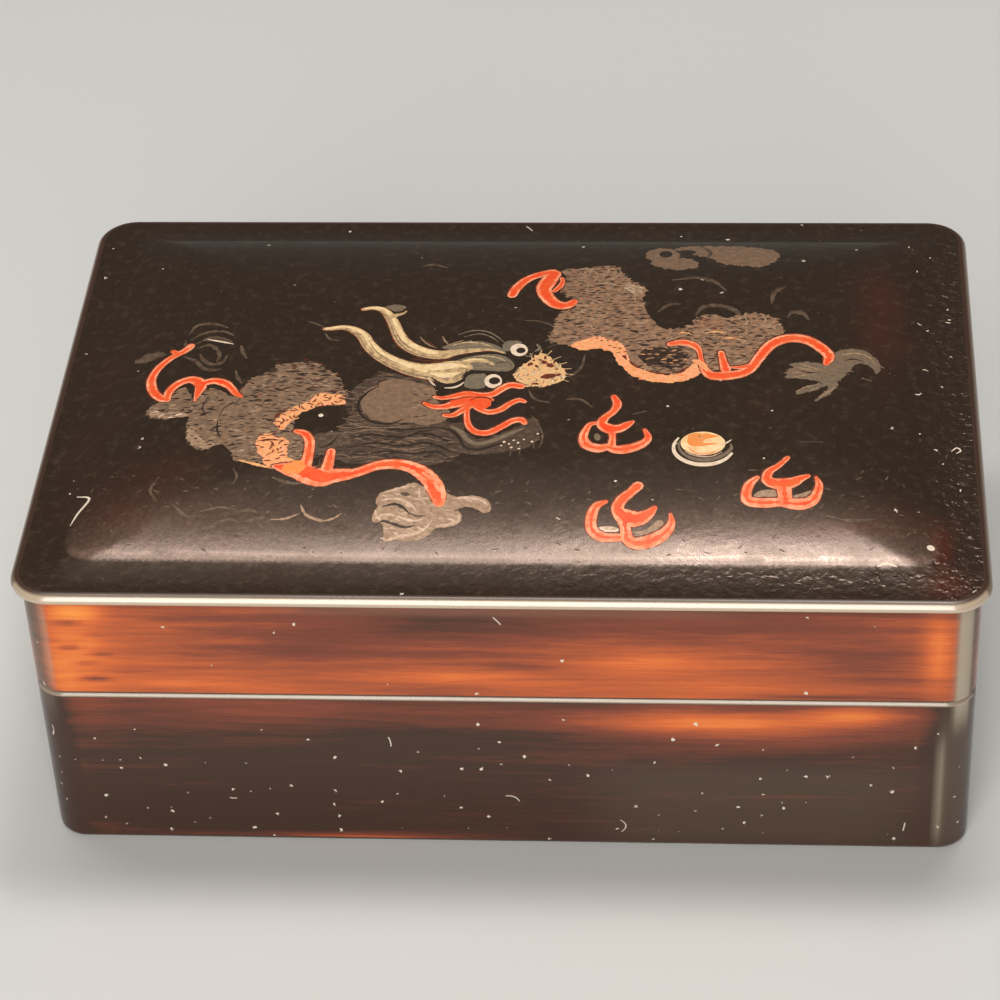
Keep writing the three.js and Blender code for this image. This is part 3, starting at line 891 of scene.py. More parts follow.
def paint_head(p):
    """Forehead, brow, eyes and nose."""
    p.area(
        "brow", (-11.6, 5.9), (-9, 7.5), (-6.5, 7.9), (-4.3, 7.5), (-2.2, 6.2), (-1.2, 4.4), (-3.6, 5.2),
        (-7.1, 5.4), ragged=0.1,
    )
    p.line("horn", 0.15, (-10.4, 6.6), (-8, 7.5), (-5.6, 7.3), (-3.4, 6.4), wobble=0.4)
    p.line("tan", 0.13, (-9.4, 6.1), (-7, 6.8), (-4.6, 6.6), (-2.8, 5.6), wobble=0.4)
    p.stroke(
        "horn", (-11.5, 4.2, 0.9), (-9, 4.9, 0.7), (-6, 5.5, 0.42), (-3.4, 5.5, 0.28), (-1.5, 4.7, 0.16),
    )
    p.area(
        "brow", (-9.5, 2.3), (-6, 4), (-3, 4.3), (-0.8, 3.3), (0.3, 1.5), (-0.3, -0.1), (-3, -0.2),
        (-6, 0), (-7.6, 0.8), ragged=0.06,
    )
    p.line("tan", 0.16, (-8.2, 2.2), (-6.4, 2.3), (-4.8, 1.6), (-3.9, 0.5), wobble=0.3)
    p.line("horn", 0.13, (-6.4, 3.7), (-4, 3.8), (-1.8, 3), (-0.6, 1.6), wobble=0.4)
    p.line("tan", 0.15, (-6.2, 0.6), (-4, 0.9), (-1.8, 0.5), (-0.4, 0.6), wobble=0.4)
    p.line(
        "ink", 0.15, (-9, 3.5), (-6.4, 4.5), (-3.8, 4.8), (-1.4, 4.3), (0.2, 3), (0.7, 1.2), (0.3, -0.4),
        (-0.8, -0.6),
    )
    p.line("ink", 0.1, (-3.4, 0.9), (-2.4, 2), (-1, 2.2), (-0.1, 1.2))
    bun = p.area(
        "horn", (-13.4, 1), (-11, 2.3), (-8.6, 2.4), (-6.8, 1.6), (-6.4, 0.4), (-7.6, -0.8), (-8.2, -2.4),
        (-9.8, -3.3), (-12, -2.9), (-13.4, -1.4), ragged=0.06,
    )
    p.bricks("tan", bun, 1.5, 0.9, 0.6, 0.1, 0.5, -14)
    p.stroke(
        "pale_horn", (-15.6, 0.4, 0.3), (-13, 0.6, 0.7), (-10.6, 1.1, 0.8), (-8.4, 1.2, 0.4),
        (-7.2, 0.8, 0.15),
    )
    p.stroke("pale_horn", (-13.2, -0.9, 0.2), (-11.6, -1.1, 0.6), (-9.8, -1.2, 0.55), (-8.4, -0.6, 0.15))
    p.line("bone", 0.16, (-12.6, 1), (-11, 1.5), (-9.4, 1.6), wobble=0.4)
    p.line("bone", 0.13, (-12, -1.7), (-10.8, -1.9), (-9.6, -1.7), wobble=0.4)
    for x, y in ((-9.5, -2.7), (-8.8, -2.2), (-8.2, -1.5)):
        p.line("tan", 0.1, (x, y), (x + 0.6, y + 1.2), (x + 1.4, y + 1.8), wobble=0.4)
    p.stroke("horn", (-8.6, 1.9, 0.5), (-6.4, 2.7, 0.62), (-4.4, 2.5, 0.4), (-2.9, 1.4, 0.15), wobble=0.3)
    p.line("pale_horn", 0.2, (-8.2, 2.3), (-6.2, 3), (-4.2, 2.7), wobble=0.4)
    p.line(
        "ink", 0.24, (-12.9, -1.9), (-11.6, -3.3), (-9.8, -3.8), (-8, -2.8), (-7.3, -1.3), (-6.4, -0.4),
        (-5, -0.25), (-2.75, -0.45), (-0.9, -0.5),
    )
    p.line("ink", 0.14, (-8.2, -2.2), (-7.5, -0.9), (-7.2, 0.3))
    p.line("bone", 0.17, (-13.4, -2), (-12.7, -3.4), (-12, -4.2))
    p.line("bone", 0.2, (-10.6, -4.7), (-9.2, -4.6), (-8.2, -4), (-7.5, -3.1))
    p.area(
        "brow", (-7, -1.4), (-5.6, -0.9), (-4.2, -1.1), (-3.9, -3.4), (-4.4, -4.7), (-6, -4.9),
        (-7.4, -4.2), ragged=0.1,
    )
    p.line("tan", 0.12, (-6.6, -2.2), (-5.6, -1.6), (-4.6, -1.9), wobble=0.3)
    p.line("olive", 0.16, (-9.4, 9.6), (-7, 10.8), (-4.6, 10.5), (-2.9, 9.1), (-1.7, 7.6), wobble=0.25)
    p.line("olive", 0.13, (-8.4, 9), (-6, 9.9), (-4, 9.1), (-2.6, 7.6), wobble=0.25)
    p.line("ink", 0.14, (-7.4, 9.8), (-5.2, 10.2), (-3.6, 9.2), (-2.2, 7.6), (-1.2, 6.4))
    p.area("brow", (-1.8, 5.4), (-1.6, 7.6), (0.2, 8.1), (1.2, 7.6), (0, 5.6), ragged=0.1)
    p.line("brow", 0.3, (3.6, 7.2), (4.2, 6), (3.4, 5.1), wobble=0.3)
    p.oval("bone", 0.85, 5.55, 1.42, 1.72, 12)
    p.oval("ink", 1.15, 5.4, 0.78, 0.78)
    p.oval("bone", -2.85, -2.85, 1.42, 1.85, 6)
    p.oval("ink", -2.65, -2.75, 0.92, 0.95)
    p.area(
        "ink", (6.6, 5.6), (9, 6.1), (10.8, 4.4), (11.1, 1.6), (9.6, -1.4), (8.4, -1), (8.2, 1.6),
        (6.8, 3.4),
    )
    p.line("mist", 0.24, (11.6, 4.2), (11.2, 1.2), (10, -0.9), (8.7, -1.7), wobble=0.2)
    p.line("mist", 0.18, (5.4, 6.2), (7.4, 7.2), (9.6, 6.9), (11.2, 5.6), wobble=0.2)
    nose = p.area(
        "nose", (0.3, -1.4), (0.9, 0.2), (1.9, 1.6), (2.9, 2.9), (3.8, 4.1), (5, 4.5), (5.9, 3.7),
        (7, 2.4), (7.9, 1.2), (8.6, 0.1), (8.7, -1.4), (8, -2.8), (6.4, -3.8), (4.6, -4.3), (2.7, -4.2),
        (1.4, -3.4), ragged=0.25,
    )
    for rows in (
        [(7.4, 1.6), (8.8, 2.2)], [(8.2, 0.4), (9.6, 0.6)], [(8.4, -0.8), (9.9, -1)],
        [(8.1, -2.2), (9.3, -2.9)], [(5.4, 4), (6.2, 5.4)], [(6.6, 3), (7.8, 3.8)],
        [(4.2, 4.2), (4.6, 5.6)], [(3.1, 3.4), (2.7, 4.6)],
    ):
        p.line("nose", 0.2, *rows, wobble=0.3)
    p.flecks("bone", nose, 1.3, 0.5, 0.14, 20, 70)
    p.flecks("pale_gold", nose, 1.3, 0.55, 0.45, 40, 70)
    p.flecks("tan", nose, 1.2, 0.45, 0.6, 40, 70)
    p.flecks("snuff", nose, 1.3, 0.3, 0.3, 40, 70)
    for x, y, rx, ry, turn in (
        (2.8, 1.7, 0.3, 0.62, -30), (3.9, 1.2, 0.28, 0.42, 20), (5, 2.3, 0.4, 0.6, 30),
        (6.1, 1.4, 0.5, 0.7, 40), (5.2, 3.5, 0.26, 0.5, 0), (6, -1.5, 1.35, 0.66, 12),
        (4, -3.5, 0.6, 0.26, -10), (7.6, -1.1, 0.42, 0.36, 0), (3.4, 2.7, 0.2, 0.3, 0),
        (6.7, 2.2, 0.22, 0.34, 0), (4.4, 2.8, 0.2, 0.26, 0), (7.2, 0.4, 0.3, 0.2, 0),
    ):
        p.oval("snuff", x, y, rx, ry, turn, ragged=0.07)
    p.line("brow", 0.2, (1.9, 4), (2.7, 3.8), (3.2, 4.8), wobble=0.2)


def paint_mouth(p):
    """Lips, tongue and the flames at the corner of the mouth."""
    p.area(
        "ink", (-6.4, -6.8), (-3, -6.6), (0, -5.2), (2.2, -4.9), (2.6, -8), (2.2, -12.6), (-0.6, -14),
        (-3.8, -15.9), (-5.2, -14.4), (-6, -11), (-6.8, -8.6),
    )
    p.brush(
        [(-12, -7.1, 0.32), (-10.8, -7.4, 0.42), (-9.2, -7, 0.55), (-7, -6.2, 0.62), (-4.4, -6.6, 0.66),
         (-2.6, -6.2, 0.66), (-1.4, -4.9, 0.7), (0, -3.9, 0.76), (1.7, -4.2, 0.66)],
        [(-13.5, -8.7, 0.34), (-12, -9.6, 0.55), (-10, -9.5, 0.68), (-8, -8.4, 0.85), (-6, -7.5, 0.9),
         (-4, -7.3, 0.8), (-2.8, -7.8, 0.4)],
        [(-10.1, -11.8, 0.38), (-8.8, -11.8, 0.52), (-7.4, -10.6, 0.62), (-6, -9, 0.7)],
        [(-6, -8.6, 0.42), (-4.8, -10, 0.52), (-3.1, -10.9, 0.6), (-1.3, -10.3, 0.62),
         (0.2, -8.7, 0.58), (1.6, -7.8, 0.52), (2.5, -8.2, 0.34)],
        [(-6.5, -9.6, 0.36), (-6.5, -12, 0.45), (-6, -14.4, 0.52), (-4.7, -15.9, 0.62),
         (-2.8, -16, 0.66), (-0.9, -14.6, 0.62), (0.8, -13.1, 0.64), (2.2, -12.8, 0.66),
         (2.8, -13.6, 0.45)],
    )
    p.area(
        "vermilion", (-9.4, -8), (-7, -6.8), (-4.4, -7), (-3, -7.6), (-3, -9.4), (-4.4, -9.7), (-6, -9.4),
        (-7.8, -9.8), (-8.8, -9.4), ragged=0.06,
    )
    p.area("scarlet", (-6.2, -7.7), (-4.8, -7.3), (-3.3, -7.9), (-3, -9.2), (-3.9, -10.1), (-5.2, -9.4))
    p.line("ink", 0.12, (-6.3, -7.9), (-4.8, -7.1), (-3.2, -7.4), (-2.5, -8.4))
    p.line("rust", 0.1, (-10.6, -8.4), (-8.4, -7.6), (-6.4, -7), (-4.2, -7))
    p.line("salmon", 0.16, (-11.6, -9.9), (-9.8, -10), (-8.2, -9.5), (-7, -8.8), wobble=0.3)
    p.line("scarlet", 0.22, (-9.6, -8.9), (-7.8, -8.1), (-6.6, -7.6), wobble=0.3)


def paint_front_limb(p):
    """The red foreleg that reaches to the front, and its beige claw."""
    claw = p.area(
        "claw", (-13.9, -27.6), (-16, -28.6), (-18.6, -29.6), (-19.4, -31.4), (-19, -32.4), (-19.6, -34),
        (-19.5, -35.4), (-18, -35.9), (-17.8, -37.6), (-17.5, -39.2), (-16.4, -38.6), (-14.6, -38.9),
        (-12.4, -38.8), (-10.9, -38), (-9.8, -36.6), (-7.8, -36.3), (-6.1, -35.6), (-5.8, -34.2),
        (-6.4, -33.1), (-4.4, -32.8), (-2.8, -33.7), (-1.7, -33.4), (-1.5, -31.9), (-2.7, -30.6),
        (-4.6, -30.2), (-7, -30.4), (-9, -29.4), (-11.5, -28.6), ragged=0.1,
    )
    p.bricks("pale_claw", claw, 1.4, 0.9, 0.6, 0.14, 0.5, -14)
    p.bricks("tan", claw, 1.7, 1.3, 0.5, 0.11, 0.4, -14)
    for rows in (
        [(-18.6, -31.4), (-17.2, -30.9), (-15.4, -31.1), (-13.6, -32.4), (-12.8, -33.6)],
        [(-19.2, -34.9), (-17.6, -34), (-15.6, -34.5), (-13.6, -35.2), (-11.8, -34.9)],
        [(-17.2, -38.9), (-15.2, -38.1), (-13, -37.6), (-11.4, -36.6), (-10.4, -35)],
        [(-9.8, -36.2), (-8, -35.9), (-6.4, -35.2), (-6.2, -34)],
        [(-12.8, -28.6), (-12.6, -30.4), (-11.6, -32)], [(-18.4, -29.8), (-16.2, -28.9), (-14, -28)],
        [(-7.6, -30.8), (-5.2, -30.6), (-3, -31.1), (-1.9, -32.2)],
        [(-19.3, -33.2), (-19, -34.4), (-18.2, -35.3)],
    ):
        p.line("pale_claw", 0.24, *rows, wobble=0.5)
    p.line("ink", 0.26, (-18.2, -32.5), (-16.4, -32), (-15, -32.7), (-13.9, -34), wobble=0.3)
    p.line(
        "ink", 0.24, (-19.2, -36.1), (-18, -35.3), (-16.4, -35.8), (-14.6, -36.4), (-12.9, -36.1),
        wobble=0.3,
    )
    p.line("ink", 0.2, (-7, -33.3), (-5.4, -32.6), (-3.9, -33), (-2.4, -33.9), wobble=0.3)
    p.line("hair", 0.2, (-14.2, -33.6), (-12.8, -34.3), (-11.4, -34.2), wobble=0.3)
    p.oval("hair", -14.9, -30, 0.8, 0.34, -14, ragged=0.06)
    p.line("ink", 0.1, (-15.7, -29.8), (-14.8, -29.7), (-14.1, -30.2))
    p.brush(
        [(-36, -24.2, 0.4), (-34, -24.6, 1.3), (-32, -25.2, 1.7), (-30, -26.2, 1.9),
         (-28.4, -26.6, 1.9), (-26.4, -26.2, 1.5), (-24, -25.8, 1.2)],
        [(-33.3, -15.9, 0.5), (-32, -16.4, 0.72), (-31, -18.1, 0.8), (-30.8, -20.6, 0.8),
         (-31, -23.2, 0.95), (-31.4, -24.6, 1.1)],
        [(-27.3, -20.7, 0.7), (-27.4, -22.4, 0.8), (-27.6, -24.6, 0.95)],
        [(-27.6, -26.7, 1.0), (-25.5, -26.4, 1.0), (-22.5, -25.3, 0.9), (-19.5, -23.8, 1.0),
         (-16.3, -23.6, 1.1), (-13.5, -24.7, 1.25), (-11.2, -27, 1.4), (-9.9, -29.8, 1.35),
         (-9.5, -31.6, 0.9)], middle=0.42,
    )
    p.stroke(
        "vermilion", (-33, -24.6, 0.4), (-30.4, -25.4, 1.2), (-28.2, -26.4, 1.2), (-25.8, -26.1, 0.5),
        wobble=0.1,
    )
    p.stroke("scarlet", (-29.8, -26.6, 0.3), (-28.2, -27, 0.66), (-26.4, -26.6, 0.5), (-24.8, -26.2, 0.2))
    p.stroke("scarlet", (-11.6, -27.4, 0.3), (-10.6, -29, 0.6), (-10.2, -30.6, 0.4), wobble=0.3)
    p.stroke("salmon", (-12.6, -25.3, 0.2), (-10.8, -27, 0.36), (-9.7, -29.2, 0.3), wobble=0.5)
    p.area(
        "pearl_glow", (-34.8, -24.6), (-33.4, -23.2), (-31.6, -23), (-31, -24.4), (-32, -25.8),
        (-33.8, -25.8), ragged=0.15,
    )
    p.line("hair", 0.16, (-29.6, -24.2), (-28.9, -23.9), (-28.9, -22.6))
    p.line("rust", 0.14, (-29.8, -24.6), (-29, -24.5), (-28.5, -23.6), (-28.2, -21.6))


def paint_upper_limb(p):
    """The small red hind leg at the top."""
    p.brush(
        [(-1.2, 21.2, 0.8), (-0.6, 23.4, 0.88), (1, 26.3, 0.84), (3.2, 28.1, 0.88), (5.2, 29, 0.9)],
        [(5.4, 28.3, 1.3), (4.6, 25.6, 1.4), (4, 23.2, 1.3), (4.7, 20.6, 1.2), (6.2, 18.5, 1.15),
         (8, 18.1, 1.0), (9.2, 19.3, 0.7)],
        [(5.8, 22.6, 0.45), (6.6, 24, 0.5), (7, 25.6, 0.4), (6.8, 26.8, 0.3)], core=0.5,
    )
    p.stroke("scarlet", (5.6, 28.6, 0.5), (4.8, 26.4, 0.8), (4.2, 23.6, 0.75), (4.6, 21, 0.4), wobble=0.2)


def paint_right_coil(p):
    """The coils of the body at the right, with the belly plates."""
    body = p.area(
        "warm_powder", (7, 29.4), (9, 30.6), (11.4, 30.4), (14.3, 31.3), (16.2, 30.6), (17.5, 27.6),
        (19.8, 25.2), (21.2, 22.4), (20.6, 19.6), (20.9, 17.4), (22.1, 14.4), (23.4, 12.2), (26, 11.6),
        (28.6, 12.6), (29.6, 14.8), (31.6, 15.5), (34.75, 15), (37, 15.9), (39.6, 16.3), (42, 15.1),
        (43.8, 12.9), (43.3, 10), (41.2, 7.4), (39.6, 3.8), (38, 1.6), (35, 0.9), (32, 0.2), (30, 1.6),
        (27.7, 0), (24, -0.9), (20.8, 0.2), (18.9, 3), (17.6, 6), (15.6, 7.4), (12.4, 7.6), (9.6, 6.9),
        (6.6, 7.4), (5.4, 8.8), (6.2, 12), (6.8, 15.4), (8.4, 17.6), (9.9, 19.4), (8.4, 20.8), (7, 22),
        (7.6, 25.6), ragged=0.4,
    )
    p.flecks("pale_powder", body, 2.3, 0.9, 0.4, 10, 40)
    p.bricks("pale_powder", body, 1.7, 1.0, 0.55, 0.15, 0.6, 6)
    p.bricks("dark_powder", body, 1.6, 1.0, 0.6, 0.17, 0.66)
    p.bricks("ink", body, 2.4, 1.7, 0.5, 0.15, 0.4)
    p.flecks("dark_powder", body, 2.3, 0.9, 0.4, 0, 40)
    p.flecks("pale_powder", body, 1.7, 0.6, 0.4, 50, 70)
    for rows in (
        [(10.6, 30.8), (11.6, 29.4), (11.2, 27.8)], [(13.6, 31.4), (14.6, 29.8), (14.2, 28)],
        [(16.4, 30), (16.6, 28.2), (15.6, 26.8)], [(21, 22.8), (19.6, 21.6), (19, 20)],
        [(12.6, 24.6), (14.6, 25.4), (16.4, 24.2)], [(40.2, 16), (40.8, 14.4), (40, 12.8)],
        [(12, 29.6), (12.8, 28.2), (12.6, 26.6)], [(15.2, 30.6), (15.8, 29), (15.2, 27.4)],
        [(18.4, 25.6), (18, 23.8), (17, 22.6)], [(37.2, 15.6), (37.8, 13.8), (37, 12.4)],
    ):
        p.line("pale_powder", 0.18, *rows, wobble=0.4)
    knee = p.area("pale_powder", (17.8, 25.4), (19.6, 24.2), (20.4, 22.2), (19.2, 21.2), (18, 23), ragged=0.3)
    p.flecks("bone", knee, 0.8, 0.3, 0.6)
    hollow = p.area(
        "dark_powder", (20.6, 3.2), (22.4, 1.2), (26.8, 1), (28.4, 3), (27, 6.2), (23.4, 6.6), (21, 5.4),
        ragged=0.35,
    )
    p.bricks("warm_powder", hollow, 1.5, 0.95, 0.6, 0.22, 0.85)
    p.bricks("pale_gold", hollow, 2, 1.3, 0.4, 0.12, 0.4)
    plate = p.area(
        "gold", (9.2, 6.7), (11, 8.3), (13.4, 9.3), (15.6, 8.4), (17.4, 7.4), (18.2, 5), (19.2, 2.2),
        (21.4, 0.2), (24.4, -0.9), (27.2, -0.4), (28.4, 1.2), (29.8, 2.6), (31, 1.2), (30, -0.9),
        (28, -2.4), (24.4, -3), (21.2, -2.2), (18.8, -0.6), (17, 2.4), (15.9, 5), (13.9, 6), (11.4, 5.6),
        ragged=0.18,
    )
    p.bricks("pale_gold", plate, 1.4, 1, 0.55, 0.28, 0.75)
    p.flecks("salmon", plate, 1.5, 0.5, 0.3, 20, 60)
    for rows in (
        [(15.6, 8.2), (16.6, 7.2), (17.5, 5.8)], [(17.2, 6.2), (17.8, 4.4), (18.4, 3)],
        [(18.8, 2.8), (19.8, 1.4), (21, 0.6)], [(21.6, 0.2), (23.4, -0.5), (25.2, -0.7)],
        [(25.8, -0.5), (27.4, 0.1), (28.4, 1.4)], [(29.2, 2.4), (30.4, 2.2), (31, 1)],
    ):
        p.line("rust", 0.26, *rows, wobble=0.4)
    upper = p.area(
        "gold", (13, 9.1), (15.6, 8.3), (17.4, 7.2), (18.4, 4.6), (17, 4.4), (15.4, 6.6), (13, 7.6),
    )
    p.bricks("snuff", upper, 1.2, 0.95, 0.3, 0.2, 0.75)
    p.bricks("pale_gold", upper, 1.2, 0.95, 0.4, 0.2, 0.6)
    spot = p.area("warm_powder", (29, 13.2), (32, 14.8), (35, 13.2), (32.4, 11.6), ragged=0.3)
    p.flecks("snuff", spot, 0.9, 0.5, 0.7)
    for rows in (
        [(33.6, 9), (35.2, 9.2), (36.8, 8.7)], [(31, 10.4), (32.6, 10.9), (34.4, 10.5)],
        [(26.6, 10.2), (27.6, 10.6), (28.8, 10)],
    ):
        p.line("pale_gold", 0.17, *rows, wobble=0.4)


def paint_right_limb(p):
    """The red hind leg at the right, and its olive claw."""
    claw = p.area(
        "olive", (51.4, 5.4), (52.8, 7.2), (55, 8.1), (57.2, 7.8), (58.8, 6), (59.2, 3.8), (58.6, 2.2),
        (58, 3.6), (56.8, 4.4), (55.4, 4), (54.2, 2), (52.8, -0.4), (51.8, -1.6), (49, -1.4),
        (46.4, -1.2), (44.2, -0.4), (44.6, 1.2), (46.6, 2.4), (48.4, 2.2), (50, 2.8), ragged=0.16,
    )
    for rows in (
        [(50.6, 2.4, 0.7), (47.6, 2.9, 0.5), (44.9, 2.4, 0.25)],
        [(50.4, 0.2, 0.8), (47.4, -0.4, 0.6), (44.2, -0.9, 0.3)],
        [(50.8, -1.2, 0.8), (48.6, -3.2, 0.6), (45.6, -5.2, 0.25)],
        [(51.8, -1.4, 0.7), (50.8, -4, 0.55), (48.6, -6.8, 0.2)],
    ):
        p.stroke("olive", *rows, wobble=0.35)
    p.bricks("powder", claw, 1.3, 0.9, 0.7, 0.2, 0.7, -20)
    p.bricks("pale_mane", claw, 1.5, 1.0, 0.7, 0.16, 0.5, -20)
    for rows in (
        [(46.2, 2.7), (48, 2.1), (49.8, 1.5)], [(45, -1.1), (46.6, -0.3), (48.4, 0.1)],
        [(45.6, -4.7), (47.2, -3.3), (49, -2.5)], [(49.2, -5.6), (51, -3.8), (51.8, -2.6)],
        [(53, 6), (55.2, 7), (57.4, 6.6), (58.5, 4.6)], [(56.2, 0.6), (57.8, 0.2)],
        [(45.8, 1.8), (47.4, 1.4), (49, 1.2)], [(47.6, -4.6), (49.2, -3.2)],
        [(45, 0.4), (46.8, 0.6), (48.6, 0.9)],
    ):
        p.line("pale_powder", 0.16, *rows, wobble=0.5)
    for rows in (
        [(46, 0.9), (47.6, 0.6), (49.4, 0.8)], [(46.6, -2), (48.4, -1.6), (50, -2.1)],
        [(53.4, 4.6), (55.2, 5.4), (56.8, 4.9)],
    ):
        p.line("ink", 0.16, *rows, wobble=0.3)
    p.brush(
        [(25.3, 7.3, 0.55), (27.2, 7.8, 0.75), (29, 7.2, 0.75), (30, 5.8, 0.52), (30.3, 4, 0.38),
         (30.7, 1.4, 0.62), (32, -0.9, 0.95), (34.2, -1.1, 1.1), (36.8, -0.4, 1.0), (38.4, 1, 0.92),
         (39.7, 3.8, 0.92), (41.4, 7.2, 1.0), (43.4, 9, 1.1), (45.6, 9.6, 1.1), (47.8, 9.1, 1.1),
         (49.8, 7.4, 1.1), (51, 5.4, 0.95), (50.5, 3.3, 0.5)],
        [(33.6, 5.2, 0.5), (33.9, 3.2, 0.62), (34.4, 0.6, 0.85)],
        [(35.4, 1.2, 0.26), (36.6, 1.2, 0.4), (38.2, 1.6, 0.6)],
    )
    p.stroke("gold", (29, 3, 0.2), (30.2, 2.4, 0.6), (31, 1.2, 0.5), (31.4, 0.2, 0.2), wobble=0.2)
    p.line("scarlet", 0.3, (32, -0.6), (34.2, -0.7), (36.2, -0.1), wobble=0.3)
    p.line("scarlet", 0.2, (33.8, 4.2), (34, 2.4), (34.4, 0.6), wobble=0.3)


def paint_flames(p):
    """The three flames round the pearl."""
    p.oval("bone", 16.8, -36.5, 1.6, 0.55, -4)
    p.oval("pale_claw", 17, -36.3, 1.2, 0.36, -4)
    p.area(
        "claw", (20.4, -36.9), (22.4, -36.6), (24.4, -34.7), (25.2, -35.2), (24.6, -36.6), (22.8, -37.6),
    )
    p.area("claw", (38.9, -29.8), (40.2, -28.6), (42.4, -28.7), (42.2, -30.4), (40, -30.8))
    p.area("claw", (45, -29.8), (46.6, -29), (48, -28.4), (47.4, -29.9), (46, -30.6))
    p.oval("olive", 14.4, -16.9, 0.5, 0.9, 10)
    for tongue, stem, left, right in (
        ([(16.7, -6.8, 0.5), (17.3, -8.7, 0.7), (16.7, -10.6, 0.62), (15.5, -12.1, 0.7), (15, -13.7, 0.9),
          (16.25, -14.9, 1.1), (17.8, -14.8, 0.9), (19.1, -13.8, 0.7), (19.9, -13.1, 0.3)],
         [(16.6, -15.4, 0.75), (16.8, -17, 0.5), (16.7, -18.9, 0.7)],
         [(14.2, -13.5, 0.4), (13.2, -13.8, 0.46), (12.6, -15.1, 0.56), (12.2, -17.1, 0.72),
          (12.9, -18.9, 0.95), (14.7, -19.6, 0.95), (16, -19.2, 0.7)],
         [(16.2, -19.3, 0.7), (17.8, -19.9, 0.95), (20, -19.4, 0.95), (21.8, -18.2, 0.75),
          (22.4, -16.8, 0.56), (21.8, -15.1, 0.3)]),
        ([(21.1, -27.9, 0.9), (20, -29.3, 0.8), (18.6, -30.9, 0.9), (18.1, -32.75, 1.0), (19.4, -34.2, 1.5),
          (21.25, -34.5, 1.4), (22.8, -33.6, 0.95), (23.75, -32.4, 0.45)],
         [(19.1, -34.9, 1.0), (19.4, -36.4, 0.8), (19.6, -37.9, 1.0)],
         [(16.25, -31.2, 0.34), (14.8, -32.1, 0.7), (14.1, -34.3, 0.85), (14.3, -36.6, 0.9),
          (15.9, -37.9, 0.85), (18.6, -38, 0.7)],
         [(19.4, -38, 0.8), (20.9, -39, 1.0), (23.4, -38.5, 1.15), (25.5, -37, 0.95), (26.4, -35.2, 0.6),
          (26.2, -33.4, 0.2)]),
        ([(44.2, -21.2, 0.4), (42.8, -23.1, 0.5), (41.3, -24.6, 0.7), (41, -26.3, 0.9), (42.4, -27.2, 1.15),
          (44.7, -26.9, 1.1), (46.2, -25.9, 0.7), (47.3, -25.25, 0.4)],
         [(43.6, -27.8, 1.1), (43.7, -29.4, 1.1), (43.9, -30.8, 1.0)],
         [(39.5, -25.9, 0.4), (38.3, -27.4, 0.75), (37.8, -29.3, 0.8), (38.1, -30.8, 0.9),
          (40.3, -31.2, 0.95), (43, -31, 0.9)],
         [(43.6, -31.1, 0.9), (45.9, -31.4, 1.15), (47.7, -30.8, 1.0), (48.6, -29.2, 0.75),
          (49, -27.1, 0.6), (48.5, -25.3, 0.2)]),
    ):
        p.brush(tongue, stem, left, right, middle=0.3)
        deep = [(x, y + 0.06, 0.62 * half) for x, y, half in tongue]
        p.stroke("vermilion", *deep, wobble=0.25)


def paint_pearl(p):
    """The pearl in its pale dish."""
    p.stroke(
        "bone", (27.2, -16.9, 0.14), (26.5, -18.4, 0.24), (26.6, -20.4, 0.32), (27.9, -22.1, 0.38),
        (30.2, -23.1, 0.42), (32.8, -22.9, 0.4), (34.6, -21.8, 0.3), (35.6, -20.4, 0.2),
    )
    p.stroke(
        "olive", (27.9, -17, 0.1), (27.3, -18.6, 0.26), (27.9, -20.4, 0.36), (29.6, -21.8, 0.4),
        (31.8, -22.1, 0.4), (34, -21.1, 0.36), (35.4, -19.4, 0.3), (35.3, -18.2, 0.12),
    )
    p.oval("ink", 31, -18.6, 3.6, 3.1)
    p.line("pale_claw", 0.14, (28.2, -20.2), (29.8, -21.1), (32.2, -21.3), (34, -20.2), wobble=0.2)
    p.oval("pearl", 31.0, -18.2, 3.5, 2.8)
    p.line("bone", 0.16, (33.6, -18.9), (34.7, -18), (35.5, -17.2))
    p.line("gold", 0.2, (28.6, -19), (29.8, -20.4), (32, -20.6), (33.8, -19.4), wobble=0.3)
    p.area(
        "pearl_glow", (28.6, -16.7), (29.4, -15.8), (31.4, -15.9), (33.6, -16.4), (32, -17), (31, -18),
        (33.2, -18.3), (31, -18.9), (29.4, -19), (28.6, -18), ragged=0.12,
    )


def paint_lint(p):
    """Dust and fibres that lie on the lid."""
    p.line("dust", 0.2, (-67.2, -27.4), (-64.9, -28.8), (-66.3, -32), (-67.1, -34.6))
    p.oval("dust", 65.8, -38.5, 0.62, 0.62)
    p.line("dust", 0.2, (57.6, -42.6), (59, -42), (60.6, -42.6))
    p.oval("dust", -29.8, -11.9, 0.42, 0.42)
    p.line("dust", 0.14, (70, -13.8), (70.9, -12.7), (71.5, -13.4), (70.7, -14.2))
    low_x, high_x, low_y, high_y = 65, 72, -24, 45
    for _ in range(30):
        x, y = p.chance.uniform(low_x, high_x), p.chance.uniform(low_y, high_y)
        turn = p.chance.uniform(0, math.pi)
        reach = p.chance.uniform(0.15, 0.6)
        across, up = reach * math.cos(turn), reach * math.sin(turn)
        bow = p.chance.uniform(-0.5, 0.5)
        p.line(
            p.chance.choice(("dust", "mist")), p.chance.uniform(0.08, 0.16), (x - across, y - up),
            (x - bow * up, y + bow * across), (x + across, y + up),
        )
    for x, y, reach in (
        (25.3, -9.1, 0.24), (41.8, -9.8, 0.2), (40.5, -21.5, 0.2), (17.6, -26.9, 0.24), (34.4, 43.6, 0.4),
        (-44.4, 40.2, 0.26), (26.4, 44.9, 0.22), (56.2, 38.4, 0.24),
    ):
        p.oval("dust", x, y, reach, 0.8 * reach)
    for _ in range(46):
        x, y = p.chance.uniform(-70, 66), p.chance.uniform(-46, 46)
        p.oval("mist", x, y, p.chance.uniform(0.12, 0.24), p.chance.uniform(0.1, 0.18))


